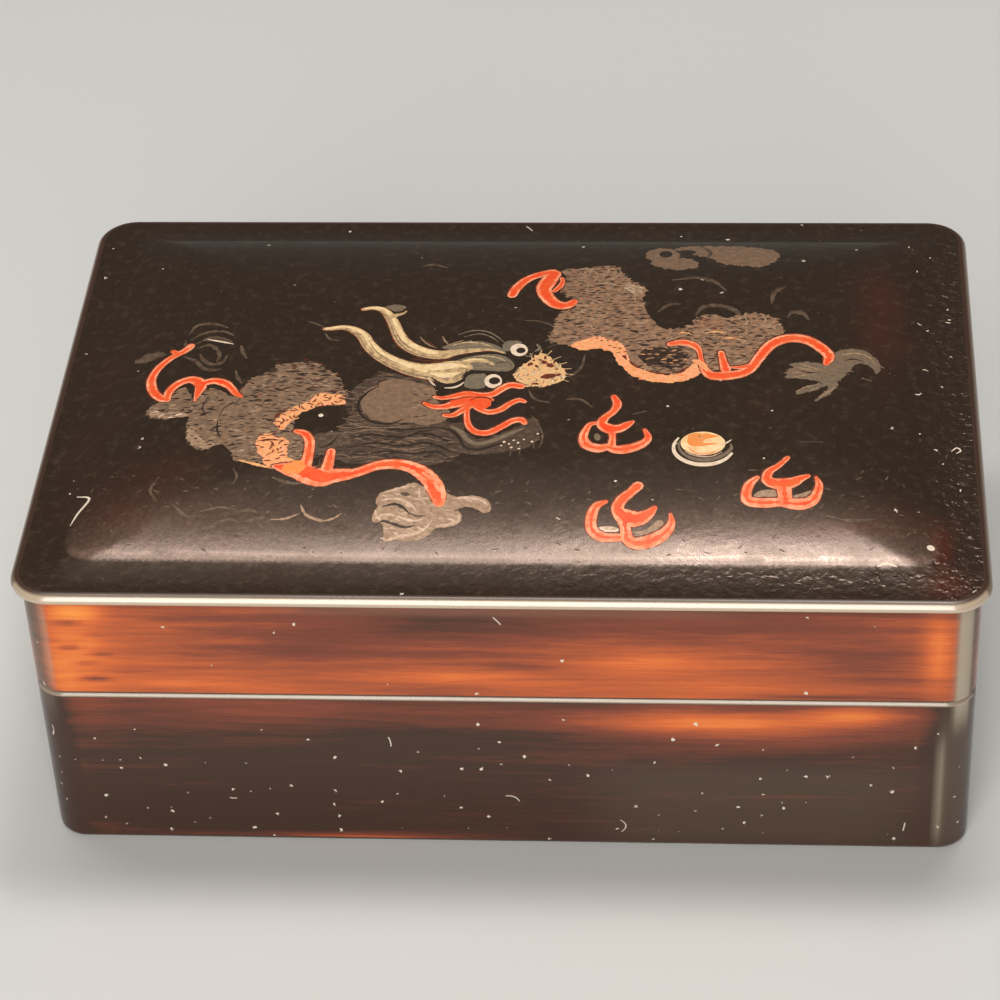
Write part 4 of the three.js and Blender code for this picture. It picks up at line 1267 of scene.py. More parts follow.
def whole_painting():
    """Every shape of paint on the lid, from the first laid to the last."""
    p = Painting(seed=7)
    paint_faint_curls(p)
    paint_left_claw(p)
    paint_left_coil(p)
    paint_left_limb(p)
    paint_mane(p)
    paint_jaw(p)
    paint_horns(p)
    paint_head(p)
    paint_mouth(p)
    paint_front_limb(p)
    paint_right_coil(p)
    paint_upper_limb(p)
    paint_right_limb(p)
    paint_flames(p)
    paint_pearl(p)
    paint_lint(p)
    return p.shapes


# The lid's top, cut into triangles along every stroke


def bare_points(box, taken):
    """Points of bare lacquer, on rings round the border and on a grid inside them."""
    points = []
    inset = box.lip_round_in + 0.7
    reach = box.border_width
    while inset < 2.4 * reach:
        closed, along = measured(box.ring(inset, box.top_corner(inset)))
        even = np.arange(0, along[-1] - RING_STEP / 2, RING_STEP)
        points.append(np.stack([np.interp(even, along, closed[:, k]) for k in (0, 1)], 1))
        inset += min(0.45 + 0.07 * abs(inset - reach), 1.0)
    across = np.arange(-box.half_length, box.half_length, GRID_STEP)
    up = np.arange(-box.half_depth, box.half_depth, GRID_STEP * 0.9)
    grid = np.stack(np.meshgrid(across, up), -1)
    grid[::2, :, 0] += GRID_STEP / 2
    grid = grid.reshape(-1, 2)
    points.append(grid[box.inset_at(grid[:, 0], grid[:, 1]) > inset])
    points = np.concatenate(points)
    cells = np.floor(points / CLEAR_OF_STROKES).astype(int)
    free = [tuple(c) not in taken for c in cells]
    return points[free]


def cells_near(points):
    """The cells of the clearing grid that hold or touch any of the points."""
    cells = set()
    for cx, cy in np.floor(points / CLEAR_OF_STROKES).astype(int):
        for dx in (-1, 0, 1):
            for dy in (-1, 0, 1):
                cells.add((cx + dx, cy + dy))
    return cells


def cut_top(box, rim):
    """The plan of the top in triangles: its points, their sources, triangles and pigments."""
    shapes = whole_painting()
    points = [rim]
    edges = [(i, (i + 1) % len(rim)) for i in range(len(rim))]
    count = len(rim)
    for _, outline in shapes:
        size = len(outline)
        edges += [(count + i, count + (i + 1) % size) for i in range(size)]
        points.append(outline)
        count += size
    points.append(bare_points(box, cells_near(np.concatenate(points))))
    given = [Vector(p) for p in np.concatenate(points)]
    made, _, triangles, origins, _, _ = delaunay_2d_cdt(given, edges, [], 1, 1e-5)
    places = np.array([tuple(v) for v in made])
    triangles = np.array(triangles)
    middles = places[triangles].mean(1)
    pigment = np.zeros(len(triangles), int)
    names = ["top"]
    for name, outline in shapes:
        if name not in names:
            names.append(name)
        low, high = outline.min(0), outline.max(0)
        near = np.nonzero(((middles >= low) & (middles <= high)).all(1))[0]
        if len(near):
            hit = near[winding(middles[near], outline) != 0]
            pigment[hit] = names.index(name)
    return places, origins, triangles, [names[k] for k in pigment]


# Wear: where the dark lacquer has rubbed through to russet or amber

LID_WALL_WEAR = 0.62  # the lid's walls are worn more than the tray's all over
FRONT_WEAR = (  # along the wall, up, half length, half height, strength
    (-64.6, 42, 4.6, 13, 0.36), (-65, 48.4, 4.4, 1.6, 0.6), (-56, 44, 8, 7, 0.14),
    (-46, 35, 20, 2.6, 0.3), (-8, 47.4, 19, 4.4, -0.52), (-30, 41, 9, 3, -0.16),
    (-5, 35.8, 15, 1.6, 0.42), (3, 38.4, 7, 0.6, -0.34), (22, 39.4, 9, 2.8, 0.36),
    (34, 36.6, 18, 4, 0.28), (56, 41, 9, 5, -0.16), (40, 48, 22, 3, -0.3), (67, 42, 2.2, 7, 0.5),
    (52, 32.6, 12, 0.6, -0.5), (-63, 34.8, 2.4, 0.5, -0.8), (-66.4, 41.2, 1.6, 0.5, -0.6),
    (-64, 38, 2, 0.4, -0.5), (-62, 44, 2, 0.4, -0.3), (-66, 46.4, 2, 0.5, -0.6),
    (-61.6, 40, 1.6, 0.4, -0.5), (-40, 29, 34, 4.6, 0.36), (-37, 29.6, 10, 1.1, 0.18),
    (-68, 14, 2.2, 24, 0.42), (-40, 12, 30, 9, -0.14), (34, 27.2, 28, 3.4, 0.95), (55, 29.2, 8, 2.2, 0.7),
    (32, 26.4, 19, 1.3, 0.24), (12, 30.4, 9, 0.8, -0.3), (34, 22, 32, 2.4, 0.22), (-22, 1, 17, 0.7, 0.9),
)
FRONT_GREYING_AND_SHEEN = (  # the same, for greyed lacquer and painted reflections down the corners
    (71.4, 41, 1.5, 14, 0.9), (-72.4, 41, 2.4, 14, 0.18), (-70, 42, 0.5, 9, 0.3),
    (70.6, 14, 2.8, 16, 0.09), (68.7, 13, 0.4, 11, 0.36), (40, 9, 26, 9, 0.06), (0, 50, 36, 1.6, 0.1),
)
TOP_WEAR = (  # x, y, half length, half depth, strength
    (60, 18, 5, 16, 0.4), (67.4, -38, 1.4, 4, 1.0), (68, -46, 4, 3, 0.7), (-66, -6, 9, 30, 0.08),
    (52, -36, 9, 1.6, 0.5), (62, -33, 8, 4, 0.3), (-56, -34, 14, 7, 0.26), (-52, -24, 10, 4, 0.2),
    (44, -40, 22, 3, 0.24),
)
TOP_SCUFF_AND_HIGHLIGHT = (  # the same, for a painted highlight along the front of the cushion, partly scuff marks
    (0, -41.4, 160, 0.9, 0.7), (0, -40, 110, 4.2, 0.38), (-40, -35, 26, 4, 0.2), (34, -35, 30, 4, 0.26),
    (0, -31, 62, 6, 0.08),
)
LID_CORNER_DARK = 3.1  # millimetres of dark lacquer left on each side of the lid's corners
BASE_CORNER_DARK = 6.6  # and of the tray's
FRONT_REACH = 74  # how far the painted highlight on the front edges runs each way from the middle
SIDE_HIGHLIGHT_SHARE = 0.3  # share of that painted highlight left on the other edges


def patches(u, v, rows, power=2):
    """Soft patches, summed, at each point; a higher power gives them flatter middles."""
    total = np.zeros(len(u))
    for x, y, reach_x, reach_y, strength in rows:
        away = np.abs((u - x) / reach_x) ** power + np.abs((v - y) / reach_y) ** power
        total += strength * np.exp(-away)
    return total


def hidden_wall_wear(box, back_end):
    """Patches for the two ends and the back, laid by chance and plainer than the front's."""
    rows = []
    start = box.half_length + BASE_CORNER_DARK
    end = 2 * (box.half_length + box.half_depth) - start
    back = end + 2 * BASE_CORNER_DARK
    for seed, first, last, sides in ((11, start, end, (-1, 1)), (12, back, back_end, (1,))):
        chance = random.Random(seed)
        for level, rise in ((box.seam - 4, 2.6), (box.seam + 5, 3.6), (box.seam + 13, 4.5)):
            at = first
            while at < last:
                reach = chance.uniform(10, 26)
                strength = chance.uniform(0.1, 0.5)
                height = level + chance.uniform(-2, 2)
                for side in sides:
                    rows.append((side * at, height, reach, rise, strength))
                at += reach * 1.7
    return tuple(rows)


def wall_surface(box, shell):
    """Wear, greying, painted reflections and painted highlights of every vertex of a shell's walls and edges.
    """
    places = np.array(shell.vertices)
    along = np.resize(shell.along[:-1], len(places))
    height = places[:, 2]
    on_lid = height > box.seam
    rows = FRONT_WEAR + hidden_wall_wear(box, shell.along[-1])
    worn = patches(along, height, rows) + LID_WALL_WEAR * on_lid
    side_x = box.half_length - np.abs(places[:, 0])
    side_y = box.half_depth - np.abs(places[:, 1])
    from_corner = np.maximum(side_x, side_y)
    reach = np.where(on_lid, LID_CORNER_DARK, BASE_CORNER_DARK)
    dark = np.clip(1.3 - (from_corner - box.overhang) / reach, 0, 1)
    # Greyed lacquer and painted reflections down the corners.
    bloom = patches(along, height, FRONT_GREYING_AND_SHEEN, 6)
    # Painted highlight along the lower lip and the seam's edge, full on the front and weaker round the other
    # sides, partly rubbed-pale wear.
    pale = np.where(np.abs(along) < FRONT_REACH, 1, SIDE_HIGHLIGHT_SHARE)
    lip = np.clip((box.lip_top - 0.1 - height) / 0.25, 0, 1) * (height > box.lip_underside + 0.1)
    seam = np.clip((height - box.seam + box.base_seam_edge) / 0.2, 0, 1) * (height < box.seam)
    on_edge = (height > box.lip_underside) | ((height > box.seam - box.base_seam_edge) & ~on_lid)
    return worn - 0.9 * dark, np.where(on_edge, pale * np.maximum(lip, 0.6 * seam), bloom)


# Shader nodes


class Nodes:
    """Short calls that place and join the nodes of one tree."""

    def __init__(self, tree):
        self.tree = tree

    def add(self, kind, inputs=None, **settings):
        node = self.tree.nodes.new(kind)
        for key, value in settings.items():
            setattr(node, key, value)
        for key, value in (inputs or {}).items():
            self.put(node.inputs[key], value)
        return node

    def put(self, socket, value):
        if isinstance(value, bpy.types.NodeSocket):
            self.tree.links.new(value, socket)
        elif hasattr(socket.default_value, "__len__") and hasattr(value, "__len__"):
            size = len(socket.default_value)
            socket.default_value = (tuple(value) + (1.0,))[:size]
        else:
            socket.default_value = value

    def math(self, operation, a, b=0.0, clamp=False):
        node = self.add("ShaderNodeMath", {0: a, 1: b}, operation=operation, use_clamp=clamp)
        return node.outputs[0]

    def times(self, a, b):
        return self.math("MULTIPLY", a, b)

    def plus(self, a, b, clamp=False):
        return self.math("ADD", a, b, clamp)

    def vector(self, operation, a, b):
        return self.add("ShaderNodeVectorMath", {0: a, 1: b}, operation=operation).outputs[0]

    def scaled(self, vector, x, y, z=1.0):
        node = self.add("ShaderNodeMapping", {"Vector": vector, "Scale": (x, y, z)})
        return node.outputs[0]

    def noise(self, vector, scale=1.0, detail=3.0, roughness=0.5, distortion=0.0):
        values = {"Vector": vector, "Scale": scale, "Detail": detail, "Roughness": roughness}
        values["Distortion"] = distortion
        return self.add("ShaderNodeTexNoise", values).outputs["Fac"]

    def span(self, value, low, high, to_low=0.0, to_high=1.0):
        """A value's range from low to high, spread evenly over another and held at its ends."""
        node = self.add("ShaderNodeMapRange", {0: value, 1: low, 2: high, 3: to_low, 4: to_high})
        return node.outputs[0]

    def mix(self, share, a, b, blend="MIX"):
        node = self.add("ShaderNodeMix", data_type="RGBA", blend_type=blend)
        self.put(node.inputs[0], share)
        self.put(node.inputs[6], a)
        self.put(node.inputs[7], b)
        return node.outputs[2]

    def attribute(self, name, output="Fac"):
        return self.add("ShaderNodeAttribute", attribute_name=name).outputs[output]

    def group(self, group, **inputs):
        node = self.add("ShaderNodeGroup", node_tree=group)
        for key, value in inputs.items():
            self.put(node.inputs[key.replace("_", " ")], value)
        return node.outputs


def new_group(name, inputs, outputs):
    """An empty node group with named sockets, and short calls for filling it."""
    group = bpy.data.node_groups.new(name, "ShaderNodeTree")
    for key, value in inputs.items():
        kind = "NodeSocketVector" if value is None else "NodeSocketFloat"
        socket = group.interface.new_socket(key, in_out="INPUT", socket_type=kind)
        if value is not None:
            socket.default_value = value
    for key in outputs:
        group.interface.new_socket(key, in_out="OUTPUT", socket_type="NodeSocketFloat")
    nodes = Nodes(group)
    start = nodes.add("NodeGroupInput")
    end = nodes.add("NodeGroupOutput")
    return group, nodes, start.outputs, end.inputs


def brush_streaks():
    """Long soft streaks left by a lacquer brush, along the first coordinate."""
    inputs = {"Coordinates": None, "Length": 14.0, "Width": 0.9}
    group, n, start, end = new_group("Brush streaks", inputs, ["Streaks", "Patches"])
    along = n.math("DIVIDE", 1.0, start["Length"])
    across = n.math("DIVIDE", 1.0, start["Width"])
    scale = n.add("ShaderNodeCombineXYZ", {0: along, 1: across, 2: 1.0}).outputs[0]
    stretched = n.vector("MULTIPLY", start["Coordinates"], scale)
    n.put(end["Streaks"], n.noise(stretched, 1.0, 4.0, 0.6, 0.4))
    n.put(end["Patches"], n.noise(stretched, 0.22, 3.0, 0.55, 0.8))
    return group


def dust_specks():
    """Scattered pale specks: one chance in each cell, with its own size."""
    inputs = {"Coordinates": None, "Spacing": 3.0, "Share": 0.3, "Size": 0.16}
    group, n, start, end = new_group("Dust specks", inputs, ["Specks"])
    scale = n.math("DIVIDE", 1.0, start["Spacing"])
    bent = n.add("ShaderNodeTexNoise", {"Vector": start["Coordinates"], "Scale": 2.6}).outputs["Color"]
    bent = n.vector("ADD", bent, start["Coordinates"])
    cell = n.add("ShaderNodeTexVoronoi", {"Vector": bent, "Scale": scale}, voronoi_dimensions="2D")
    parts = n.add("ShaderNodeSeparateColor", {0: cell.outputs["Color"]}).outputs
    there = n.math("LESS_THAN", parts[0], start["Share"])
    reach = n.times(n.times(start["Size"], scale), n.plus(parts[1], 0.35))
    near = n.math("DIVIDE", cell.outputs["Distance"], reach)
    spot = n.times(n.span(near, 0.7, 1.1, 1.0, 0.0), there)
    n.put(end["Specks"], spot)
    return group


def stray_fibres():
    """Short thin hairs of lint, one at most in each cell."""
    inputs = {"Coordinates": None, "Spacing": 9.0, "Share": 0.25, "Length": 0.8, "Width": 0.07}
    group, n, start, end = new_group("Stray fibres", inputs, ["Fibres"])
    scale = n.math("DIVIDE", 1.0, start["Spacing"])
    cell = n.add(
        "ShaderNodeTexVoronoi", {"Vector": start["Coordinates"], "Scale": scale}, voronoi_dimensions="2D"
    )
    parts = n.add("ShaderNodeSeparateColor", {0: cell.outputs["Color"]}).outputs
    there = n.math("LESS_THAN", parts[0], start["Share"])
    offset = n.vector("SUBTRACT", start["Coordinates"], cell.outputs["Position"])
    turn = n.times(parts[1], math.pi)
    turned = n.add(
        "ShaderNodeVectorRotate", {"Vector": offset, "Angle": turn}, rotation_type="Z_AXIS"
    ).outputs[0]
    xyz = n.add("ShaderNodeSeparateXYZ", {0: turned}).outputs
    bow = n.times(n.times(xyz[0], xyz[0]), n.math("SUBTRACT", parts[2], 0.5))
    aside = n.math("ABSOLUTE", n.plus(xyz[1], bow))
    across = n.span(n.math("DIVIDE", aside, start["Width"]), 0.6, 1.2, 1.0, 0.0)
    reach = n.times(start["Length"], n.plus(parts[2], 0.3))
    along = n.math("LESS_THAN", n.math("ABSOLUTE", xyz[0]), reach)
    n.put(end["Fibres"], n.times(n.times(across, along), there))
    return group


def lacquer_skin():
    """Height of a hand-laid lacquer film: slow waves, orange peel and fine grit."""
    inputs = {"Coordinates": None, "Waves": 1.0, "Peel": 1.0}
    group, n, start, end = new_group("Lacquer skin", inputs, ["Height"])
    waves = n.times(n.noise(start["Coordinates"], 0.07, 1.0), start["Waves"])
    peel = n.times(n.noise(start["Coordinates"], 0.9, 2.0), 0.012)
    grit = n.times(n.noise(start["Coordinates"], 5.0, 1.0), 0.003)
    fine = n.times(n.plus(peel, grit), start["Peel"])
    n.put(end["Height"], n.plus(n.times(waves, 0.1), fine))
    return group


WARM = (1.0, 0.8, 0.71, 1.0)  # tint of what aged lacquer reflects


class Finishes:
    """The materials of the box, made from the colour settings."""

    def __init__(self, colours):
        self.colours = colours
        self.streaks = shared("Brush streaks", brush_streaks)
        self.specks = shared("Dust specks", dust_specks)
        self.fibres = shared("Stray fibres", stray_fibres)
        self.skin = shared("Lacquer skin", lacquer_skin)

    def start(self, name, **plain):
        """A new material, its node calls, its shader and its surface coordinates."""
        material = bpy.data.materials.new(name)
        material.use_nodes = True
        nodes = Nodes(material.node_tree)
        shader = material.node_tree.nodes["Principled BSDF"]
        for key, value in plain.items():
            shader.inputs[key.replace("_", " ")].default_value = value
        return material, nodes, shader, nodes.attribute("sheet", "Vector")

    def tint(self, name):
        return tuple(getattr(self.colours, name))

    def bump(self, n, shader, height, distance=MM):
        node = n.add("ShaderNodeBump", {"Height": height, "Distance": distance, "Strength": 1.0})
        n.put(shader.inputs["Normal"], node.outputs[0])

    def dusty(self, n, sheet, ground, share, spacing=3.4):
        """A ground colour with specks and fibres of dust over it."""
        specks = n.group(self.specks, Coordinates=sheet, Spacing=spacing, Share=share, Size=0.24)[0]
        few = n.times(share, 0.5)
        fibres = n.group(self.fibres, Coordinates=sheet, Share=few, Length=1.1, Width=0.12)[0]
        both = n.math("MAXIMUM", specks, n.times(fibres, 0.75))
        return n.mix(both, ground, self.tint("dust")), both

    def top(self):
        """Black-brown lacquer on the lid, rubbed to red in places and finely scratched, with a painted
        highlight along the front of the cushion that is partly scuff marks.
        """
        material, n, shader, sheet = self.start(
            "lid top lacquer", Specular_IOR_Level=0.5, Specular_Tint=WARM
        )
        wear = n.attribute("wear")
        cloudy = n.noise(sheet, 0.07, 4.0, 0.6)
        rubbed = n.plus(wear, n.times(n.math("SUBTRACT", cloudy, 0.5), 0.5))
        ground = n.mix(n.span(rubbed, 0.02, 0.7), self.tint("black_lacquer"), self.tint("red_lacquer"))
        grime = n.noise(sheet, 0.55, 5.0, 0.7)
        ground = n.mix(n.span(grime, 0.52, 0.8, 0.0, 0.34), ground, self.tint("mist"))
        scratches = n.group(
            self.fibres, Coordinates=sheet, Spacing=3.2, Share=0.25, Length=0.8, Width=0.05
        )[0]
        patchy = n.span(n.noise(sheet, 0.09, 2.0), 0.4, 0.7, 0.03, 0.3)
        ground = n.mix(n.times(scratches, patchy), ground, self.tint("mist"))
        # Painted highlight: the front of the cushion turns toward the haze colour, partly scuff marks.
        mottle = n.span(n.noise(sheet, 1.1, 6.0, 0.8), 0.38, 0.66, 0.25)
        scuff_and_highlight = n.times(n.attribute("bloom"), mottle)
        ground = n.mix(scuff_and_highlight, ground, self.tint("haze"))
        ground, dust = self.dusty(n, sheet, ground, 0.035)
        n.put(shader.inputs["Base Color"], ground)
        haze = n.noise(sheet, 0.16, 5.0, 0.7)
        rough = n.plus(n.span(haze, 0.3, 0.75, 0.16, 0.3), n.times(scratches, 0.12))
        crest = n.span(n.attribute("bloom"), 0.7, 1.0)
        rough = n.math("SUBTRACT", rough, n.times(crest, 0.1))
        n.put(shader.inputs["Roughness"], n.plus(rough, n.times(dust, 0.5), True))
        peel = n.math("SUBTRACT", 1.6, n.times(crest, 1.1))
        skin = n.group(self.skin, Coordinates=sheet, Waves=0.5, Peel=peel)[0]
        self.bump(n, shader, n.plus(skin, self.wrinkles(n, sheet)))
        return material

    def wrinkles(self, n, sheet):
        """Height of the shrunk lacquer on the lid's border, strongest along its right side."""
        x, y, _ = n.add("ShaderNodeSeparateXYZ", {0: sheet}).outputs
        beside = n.span(n.math("ABSOLUTE", x), 64.0, 68.0)
        before = n.span(n.math("ABSOLUTE", y), 42.4, 44.4, 0.0, 0.5)
        border = n.times(n.math("MAXIMUM", beside, before), n.span(x, -10.0, 66.0, 0.25, 1.0))
        folds = n.noise(sheet, 0.75, 2.0, 0.5, 0.3)
        return n.times(n.times(folds, 0.44), border)

    def wall(self):
        """Amber-brown lacquer on the walls, streaked along them by the brush."""
        material, n, shader, sheet = self.start("wall lacquer", Specular_IOR_Level=0.35)
        streaks = n.group(self.streaks, Coordinates=sheet, Length=15.0, Width=0.9)
        fine = n.group(self.streaks, Coordinates=sheet, Length=4.0, Width=0.24)
        lean = n.math("SUBTRACT", streaks["Streaks"], 0.5)
        cloudy = n.math("SUBTRACT", streaks["Patches"], 0.5)
        grain = n.math("SUBTRACT", fine["Streaks"], 0.5)
        varied = n.plus(n.times(lean, 0.5), n.times(cloudy, 0.75))
        varied = n.plus(varied, n.times(grain, 0.3))
        worn = n.plus(n.attribute("wear"), varied)
        ground = n.mix(n.span(worn, 0.0, 0.5), self.tint("dark_wall"), self.tint("russet_wall"))
        ground = n.mix(n.span(worn, 0.5, 1.05), ground, self.tint("amber_wall"))
        ground = n.mix(n.span(worn, 1.0, 1.6), ground, self.tint("gold_wall"))
        # Greyed lacquer and painted reflections down the corners.
        ground = n.mix(n.attribute("bloom"), ground, self.tint("bloom"))
        level = n.add("ShaderNodeSeparateXYZ", {0: sheet}).outputs[1]
        ground, dust = self.dusty(n, sheet, ground, n.span(level, 18, 26, 0.34, 0.07))
        n.put(shader.inputs["Base Color"], ground)
        rough = n.span(fine["Patches"], 0.3, 0.7, 0.16, 0.28)
        n.put(shader.inputs["Roughness"], n.plus(rough, n.times(dust, 0.5), True))
        self.bump(n, shader, n.group(self.skin, Coordinates=sheet, Waves=0.4, Peel=0.8)[0])
        return material

    def edge(self):
        """Edges under a hard clear coat, painted pale along the front lip and seam as a painted highlight,
        partly rubbed pale by hands.
        """
        material, n, shader, sheet = self.start(
            "polished edge", Specular_IOR_Level=0.5, Coat_IOR=2.0, Coat_Roughness=0.2
        )
        pale = n.attribute("bloom")
        streaks = n.group(self.streaks, Coordinates=sheet, Length=5.0, Width=0.6)
        worn = n.span(streaks["Streaks"], 0.3, 0.75)
        ground = n.mix(worn, self.tint("dark_wall"), self.tint("worn_edge"))
        # Painted highlight on the lip and seam, partly rubbed-pale wear.
        n.put(shader.inputs["Base Color"], n.mix(pale, ground, self.tint("pale_edge")))
        n.put(shader.inputs["Coat Weight"], pale)
        n.put(shader.inputs["Roughness"], n.span(streaks["Patches"], 0.3, 0.7, 0.24, 0.36))
        self.bump(n, shader, n.group(self.skin, Coordinates=sheet, Waves=0.3, Peel=1.0)[0])
        return material

    def plain(self, name, tint, rough):
        """Plain brushed lacquer, for the inside and the underside."""
        material, n, shader, sheet = self.start(name, Specular_IOR_Level=0.45)
        streaks = n.group(self.streaks, Coordinates=sheet, Length=12.0, Width=0.9)
        share = n.span(streaks["Streaks"], 0.35, 0.75, 0.0, 0.5)
        ground = n.mix(share, self.tint(tint), self.tint("russet_wall"))
        ground, dust = self.dusty(n, sheet, ground, 0.1)
        n.put(shader.inputs["Base Color"], ground)
        spread = n.span(streaks["Patches"], 0.3, 0.7, rough, rough + 0.14)
        n.put(shader.inputs["Roughness"], n.plus(spread, n.times(dust, 0.4), True))
        self.bump(n, shader, n.group(self.skin, Coordinates=sheet, Waves=0.4, Peel=1.4)[0])
        return material

    def pigment(self, name, main, other, thin=0.0, grain=1.2, rough=0.36):
        """Paint mottled between two colours, and thin enough in places to show the lacquer."""
        material, n, shader, sheet = self.start(
            name.replace("_", " ") + " paint", Specular_IOR_Level=0.4, Specular_Tint=WARM
        )
        mottle = n.span(n.noise(sheet, grain, 4.0, 0.6), 0.36, 0.66)
        ground = n.mix(mottle, self.tint(main), self.tint(other))
        gaps = n.noise(n.scaled(sheet, 1.0, 1.8), 2.1, 5.0, 0.72)
        worn = n.span(gaps, 0.62 - 0.34 * thin, 0.8 - 0.18 * thin, 0.0, 0.35 + 0.5 * thin)
        ground = n.mix(worn, ground, self.tint("black_lacquer"))
        n.put(shader.inputs["Base Color"], ground)
        n.put(shader.inputs["Roughness"], n.span(gaps, 0.3, 0.7, rough, rough + 0.16))
        film = n.times(n.noise(sheet, 1.6, 3.0), 0.03)
        peel = n.group(self.skin, Coordinates=sheet, Waves=0.5, Peel=1.5)[0]
        self.bump(n, shader, n.plus(film, peel))
        return material

    def pigments(self):
        """Every pigment: its two colours, how thin it lies and how fine its grain is."""
        rows = {
            "rust": ("rust", "snuff", 0.15, 1.0),
            "salmon": ("salmon", "vermilion", 0.05, 0.4),
            "vermilion": ("vermilion", "scarlet", 0.0, 0.24),
            "scarlet": ("scarlet", "vermilion", 0.0, 0.9),
            "gold": ("gold", "salmon", 0.15, 1.1),
            "pale_gold": ("pale_gold", "gold", 0.05, 1.1),
            "horn": ("horn", "tan", 0.1, 1.1),
            "pale_horn": ("pale_horn", "horn", 0.1, 1.0),
            "bone": ("bone", "pale_claw", 0.05, 0.9),
            "nose": ("horn", "pale_gold", 0.45, 1.0),
            "tan": ("tan", "olive", 0.2, 1.2),
            "powder": ("powder", "hair", 0.36, 1.0),
            "warm_powder": ("warm_powder", "hair", 0.3, 1.0),
            "pale_powder": ("pale_powder", "powder", 0.3, 1.3),
            "dark_powder": ("dark_powder", "ink", 0.2, 1.2),
            "hair": ("hair", "dark_powder", 0.5, 1.0),
            "mane": ("mane", "dark_powder", 0.6, 1.0),
            "pale_mane": ("powder", "hair", 0.4, 1.0),
            "cheek": ("cheek", "powder", 0.2, 1.1),
            "claw": ("claw", "powder", 0.3, 1.2),
            "pale_claw": ("pale_claw", "claw", 0.2, 1.1),
            "olive": ("olive", "hair", 0.25, 1.2),
            "brow": ("brow", "olive", 0.2, 1.0),
            "snuff": ("snuff", "rust", 0.1, 1.2),
            "pearl": ("pale_horn", "pearl", 0.0, 0.5),
            "pearl_glow": ("pearl_glow", "gold", 0.0, 0.5),
            "ink": ("ink", "black_lacquer", 0.0, 1.0),
            "mist": ("mist", "dark_powder", 0.45, 0.8),
            "dust": ("dust", "bone", 0.0, 1.0),
        }
        return {name: self.pigment(name, *row) for name, row in rows.items()}


def shared(name, make):
    """A node group that is built once."""
    return bpy.data.node_groups.get(name) or make()


# Operators


def settings(context):
    scene = context.scene
    return scene.lacquer_sizes, scene.lacquer_colours, scene.lacquer_studio


def settle(piece, node):
    """The piece stands for its node of the frame."""
    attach(piece, BODY)
    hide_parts(node)


class LACQUERBOX_OT_base(bpy.types.Operator):
    """Make the tray of the box"""

    bl_idname = "lacquerbox.base"
    bl_label = "Base"

    def execute(self, context):
        sizes, colours, _ = settings(context)
        box = Box(sizes)
        finishes = Finishes(colours)
        shell = Shell(box)
        first, last, count = shell.sweep(base_section(box), box.wall_corner)
        shell.cap(first, count, 0, "underside", True)
        shell.cap(last, count, box.floor, "inside", False)
        materials = {
            "wall": finishes.wall(),
            "edge": finishes.edge(),
            "inside": finishes.plain("tray lacquer", "inside", 0.3),
            "underside": finishes.plain("underside lacquer", "inside", 0.42),
        }
        wear, bloom = wall_surface(box, shell)
        piece = shell.make("tray", materials, shell.weighted_normals(), wear, bloom)
        settle(piece, "box_base")
        return {"FINISHED"}


class LACQUERBOX_OT_lid(bpy.types.Operator):
    """Make the lid with its painting"""

    bl_idname = "lacquerbox.lid"
    bl_label = "Lid"

    def execute(self, context):
        sizes, colours, _ = settings(context)
        box = Box(sizes)
        finishes = Finishes(colours)
        shell = Shell(box)
        first, last, count = shell.sweep(lid_section(box), box.wall_corner)
        self.close_ceiling(box, shell, first, count)
        wear, bloom = (list(values) for values in wall_surface(box, shell))
        swept = len(shell.vertices)
        rim = np.array(shell.vertices[last:last + count])[:, :2]
        places, origins, triangles, pigments = cut_top(box, rim)
        index = []
        for i, (x, y) in enumerate(places):
            source = min(origins[i]) if origins[i] else count
            if source < count:
                index.append(last + source)
                continue
            index.append(len(shell.vertices))
            shell.vertices.append((x, y, 0.0))
            bloom.append(0.0)
        new = np.array(shell.vertices[swept:])
        heights = box.top_height(new[:, 0], new[:, 1])
        shell.vertices[swept:] = [(x, y, z) for (x, y, _), z in zip(new, heights)]
        wear[last:last + count] = patches(rim[:, 0], rim[:, 1], TOP_WEAR)
        wear[swept:] = patches(new[:, 0], new[:, 1], TOP_WEAR)
        # Painted highlight along the front of the cushion, partly scuff marks, kept off the border.
        scuff_and_highlight = patches(new[:, 0], new[:, 1], TOP_SCUFF_AND_HIGHLIGHT)
        bloom[swept:] = scuff_and_highlight * (box.inset_at(new[:, 0], new[:, 1]) > box.border_width)
        for triangle, pigment in zip(triangles, pigments):
            shell.add_flat(tuple(index[k] for k in triangle), pigment)
        normals = shell.weighted_normals()
        normals[swept:] = box.top_normals(new[:, 0], new[:, 1])
        normals[last:last + count] = (0, 0, 1)
        materials = {
            "top": finishes.top(),
            "wall": finishes.wall(),
            "edge": finishes.edge(),
            "inside": finishes.plain("lid inside lacquer", "inside", 0.3),
            **finishes.pigments(),
        }
        piece = shell.make("lid", materials, normals, wear, bloom)
        settle(piece, "box_lid")
        return {"FINISHED"}

    def close_ceiling(self, box, shell, first, count):
        """The ceiling, which follows the cushion one thickness below it."""
        previous = first
        start = box.inner + box.cove
        reach = box.half_depth * CEILING_REACH - start
        flat = box.lip_top - box.ceiling
        for i in range(1, CEILING_RINGS + 1):
            inset = start + reach * (i / CEILING_RINGS) ** CEILING_SPREAD
            height = box.top_height(np.array([0.0]), np.array([box.half_depth - inset]))[0]
            level = max(flat, height - box.ceiling - (box.cushion_foot - box.lip_top))
            ring = len(shell.vertices)
            outline = box.ring(inset, box.top_corner(inset))
            shell.vertices += [(x, y, level) for x, y in outline]
            shell.join(ring, previous, count, "inside")
            previous = ring
        shell.cap(previous, count, level, "inside", True)


